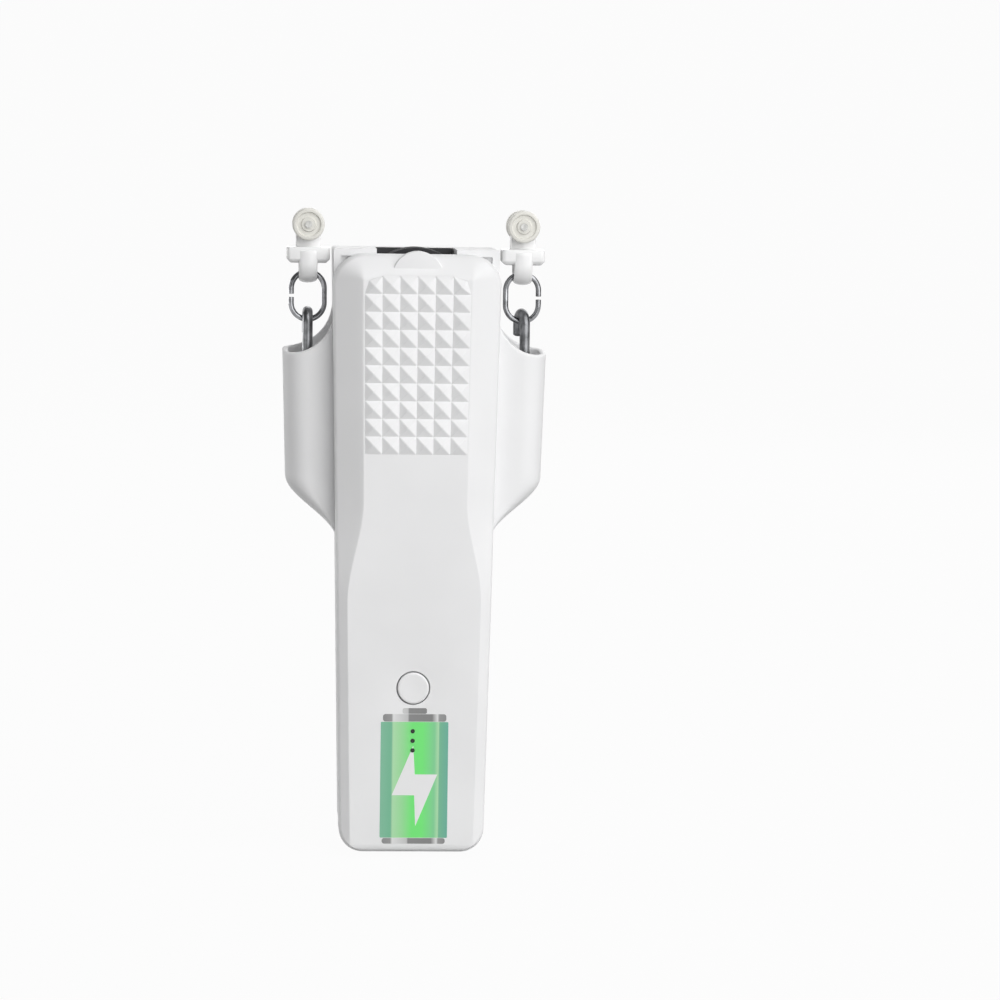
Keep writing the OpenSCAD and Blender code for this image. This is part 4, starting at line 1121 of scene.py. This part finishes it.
class ROBOT_OT_charge_mark(bpy.types.Operator):
    """Printed charge mark: a banded cell with a bolt"""
    bl_idname = "robot.charge_mark"
    bl_label = "Charge mark"

    def execute(self, context):
        under, ink_front, over_front = FACE_Y + 0.02, FACE_Y - 0.03, FACE_Y - 0.05

        def bar(half, corner, top, foot):
            loop = round_rect(half, (top - foot) / 2, corner) + [MARK_MIDDLE, (top + foot) / 2]
            return plate(loop, under, ink_front)

        for name, patches, look in (
                ("green", [bar(*MARK_BODY)], "green_ink"),
                ("ends", [bar(*end) for end in MARK_ENDS], "grey_ink"),
                ("bolt", [plate(np.array(BOLT), under, over_front)], None)):
            piece("charge_mark_" + name, "housing", "white_shell", patches, look=look)
        return {"FINISHED"}


class ROBOT_OT_node_finishes(bpy.types.Operator):
    """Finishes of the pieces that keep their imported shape"""
    bl_idname = "robot.node_finishes"
    bl_label = "Packed pieces"

    def execute(self, context):
        made = {row[1] for row in FINISH.values()}
        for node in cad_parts.values():
            for slot in node.material_slots:
                name = slot.material.name.split(".")[0]
                if name in FINISH:
                    slot.material = finish(name)
                elif name not in made:
                    raise RuntimeError("no finish for " + name)
        return {"FINISHED"}


# Name, place, size and share of the key light's power
LAMPS = (("key_light", (820, -1210, 790), 2200, 1.0),
         ("fill_light", (-1300, -1100, -100), 1200, 0.09),
         ("rim_light", (-1250, 850, 0), 900, 0.25),
         ("back_light", (450, 1300, 700), 1400, 0.2))
LAMP_TARGET = Vector((0, 0, -80)) * MM
PAPER = ((0.3, (0.39, 0.39, 0.39)), (0.7, (0.41, 0.41, 0.41)))
PAPER_GLOW = 0.96
FLOOR_GAP = 1.5


class ROBOT_OT_stage(bpy.types.Operator):
    """Pale sweep, soft studio light and camera"""
    bl_idname = "robot.stage"
    bl_label = "Stage"

    def execute(self, context):
        s, scene = Sizes("stage"), context.scene
        scene.view_settings.view_transform = "Standard"
        self.sweep()
        self.world(scene, s.ambient)
        for name, place, size, share in LAMPS:
            self.lamp(scene, name, place, size, s.key_power * share)
        camera = bpy.data.objects.new("camera", bpy.data.cameras.new("camera"))
        scene.collection.objects.link(camera)
        flat = math.cos(s.elevation)
        away = Vector((-flat * math.sin(s.bearing), -flat * math.cos(s.bearing),
                       math.sin(s.elevation)))
        camera.location = (Vector((s.target_x, 0, s.target_z)) + away * s.distance) * MM
        upright = away.to_track_quat("Z", "Y").to_matrix()
        camera.rotation_euler = (Matrix.Rotation(s.roll, 3, away) @ upright).to_euler()
        camera.data.lens = camera.data.sensor_width * s.distance / s.frame_width
        camera.data.clip_end = 100
        scene.camera = camera
        return {"FINISHED"}

    def sweep(self):
        """Floor that curves up into a backdrop: line, quarter circle and line, carried along X."""
        low, radius, front, wall, half, height = FOOT_Z - FLOOR_GAP, 700, -2600, 2400, 2600, 2200
        a = np.radians(np.linspace(-90, 0, 24))
        y = chain([front, wall - radius], wall - radius + radius * np.cos(a), [wall])
        z = chain([low, low], low + radius + radius * np.sin(a), [low + height])
        x = np.linspace(-half, half, 9)
        sweep = link_mesh("sweep", *patch(dots(x, y[:, None], z[:, None]), wrap=False))
        sweep.data.shade_smooth()
        paper = bpy.data.materials.new("sweep_paper")
        n = Nodes(paper)
        n.set(Base_Color=n.ramp(n.noise(60.0), PAPER), Roughness=0.9)
        ray = n.add("ShaderNodeLightPath").outputs
        seen = n.combine("MAXIMUM", ray["Is Camera Ray"], ray["Is Glossy Ray"])
        mix = n.add("ShaderNodeMixShader", Fac=n.combine("MULTIPLY", seen, PAPER_GLOW))
        n.join(mix.inputs[1], n.shader.outputs[0])
        n.join(mix.inputs[2], n.add("ShaderNodeEmission", Strength=1.0).outputs[0])
        n.join(n.tree.nodes["Material Output"].inputs["Surface"], mix.outputs[0])
        sweep.data.materials.append(paper)

    def world(self, scene, ambient):
        """White to the camera and through clear pieces, dimmer as light."""
        scene.world = bpy.data.worlds.new("studio")
        n = Nodes(scene.world, "Background")
        ray = n.add("ShaderNodeLightPath").outputs
        seen = n.combine("MAXIMUM", ray["Is Camera Ray"], ray["Is Transmission Ray"])
        n.set(Color=(1, 1, 1, 1), Strength=n.span(seen, ambient, 1.0, 0.0, 1.0))

    def lamp(self, scene, name, place, size, power):
        """Square soft light that faces the body."""
        light = bpy.data.lights.new(name, "AREA")
        light.size = size * MM
        light.energy = power
        lamp = bpy.data.objects.new(name, light)
        scene.collection.objects.link(lamp)
        lamp.location = Vector(place) * MM
        lamp.rotation_euler = (LAMP_TARGET - lamp.location).to_track_quat("-Z", "Y").to_euler()


OPERATORS = (ROBOT_OT_front_cover, ROBOT_OT_grip, ROBOT_OT_rear_housing, ROBOT_OT_pockets,
             ROBOT_OT_button, ROBOT_OT_screws, ROBOT_OT_hooks, ROBOT_OT_springs, ROBOT_OT_links,
             ROBOT_OT_runners, ROBOT_OT_rollers, ROBOT_OT_tyre, ROBOT_OT_charge_mark,
             ROBOT_OT_node_finishes, ROBOT_OT_stage)


class ROBOT_PT_panel(bpy.types.Panel):
    """Lists the robot's sizes and the operators that build its pieces"""
    bl_idname = "ROBOT_PT_panel"
    bl_label = "Curtain robot"
    bl_space_type = "VIEW_3D"
    bl_region_type = "UI"
    bl_category = "Curtain robot"

    def draw(self, context):
        for operator in OPERATORS:
            self.layout.operator(operator.bl_idname)
        for name in GROUPS:
            group = getattr(context.scene, name)
            box = self.layout.box()
            for key in group.__annotations__:
                box.prop(group, key)


CLASSES = (*GROUPS.values(), *OPERATORS, ROBOT_PT_panel)


def register():
    """Registers the classes and hangs the property groups on the scene."""
    for cls in CLASSES:
        bpy.utils.register_class(cls)
    for name, cls in GROUPS.items():
        setattr(bpy.types.Scene, name, PointerProperty(type=cls))


def unregister():
    """Takes the property groups off the scene and the classes out."""
    for name in GROUPS:
        delattr(bpy.types.Scene, name)
    for cls in reversed(CLASSES):
        bpy.utils.unregister_class(cls)


def main():
    """Builds every piece in order."""
    register()
    for operator in OPERATORS:
        group, name = operator.bl_idname.split(".")
        getattr(getattr(bpy.ops, group), name)()


if __name__ == "__main__":
    main()
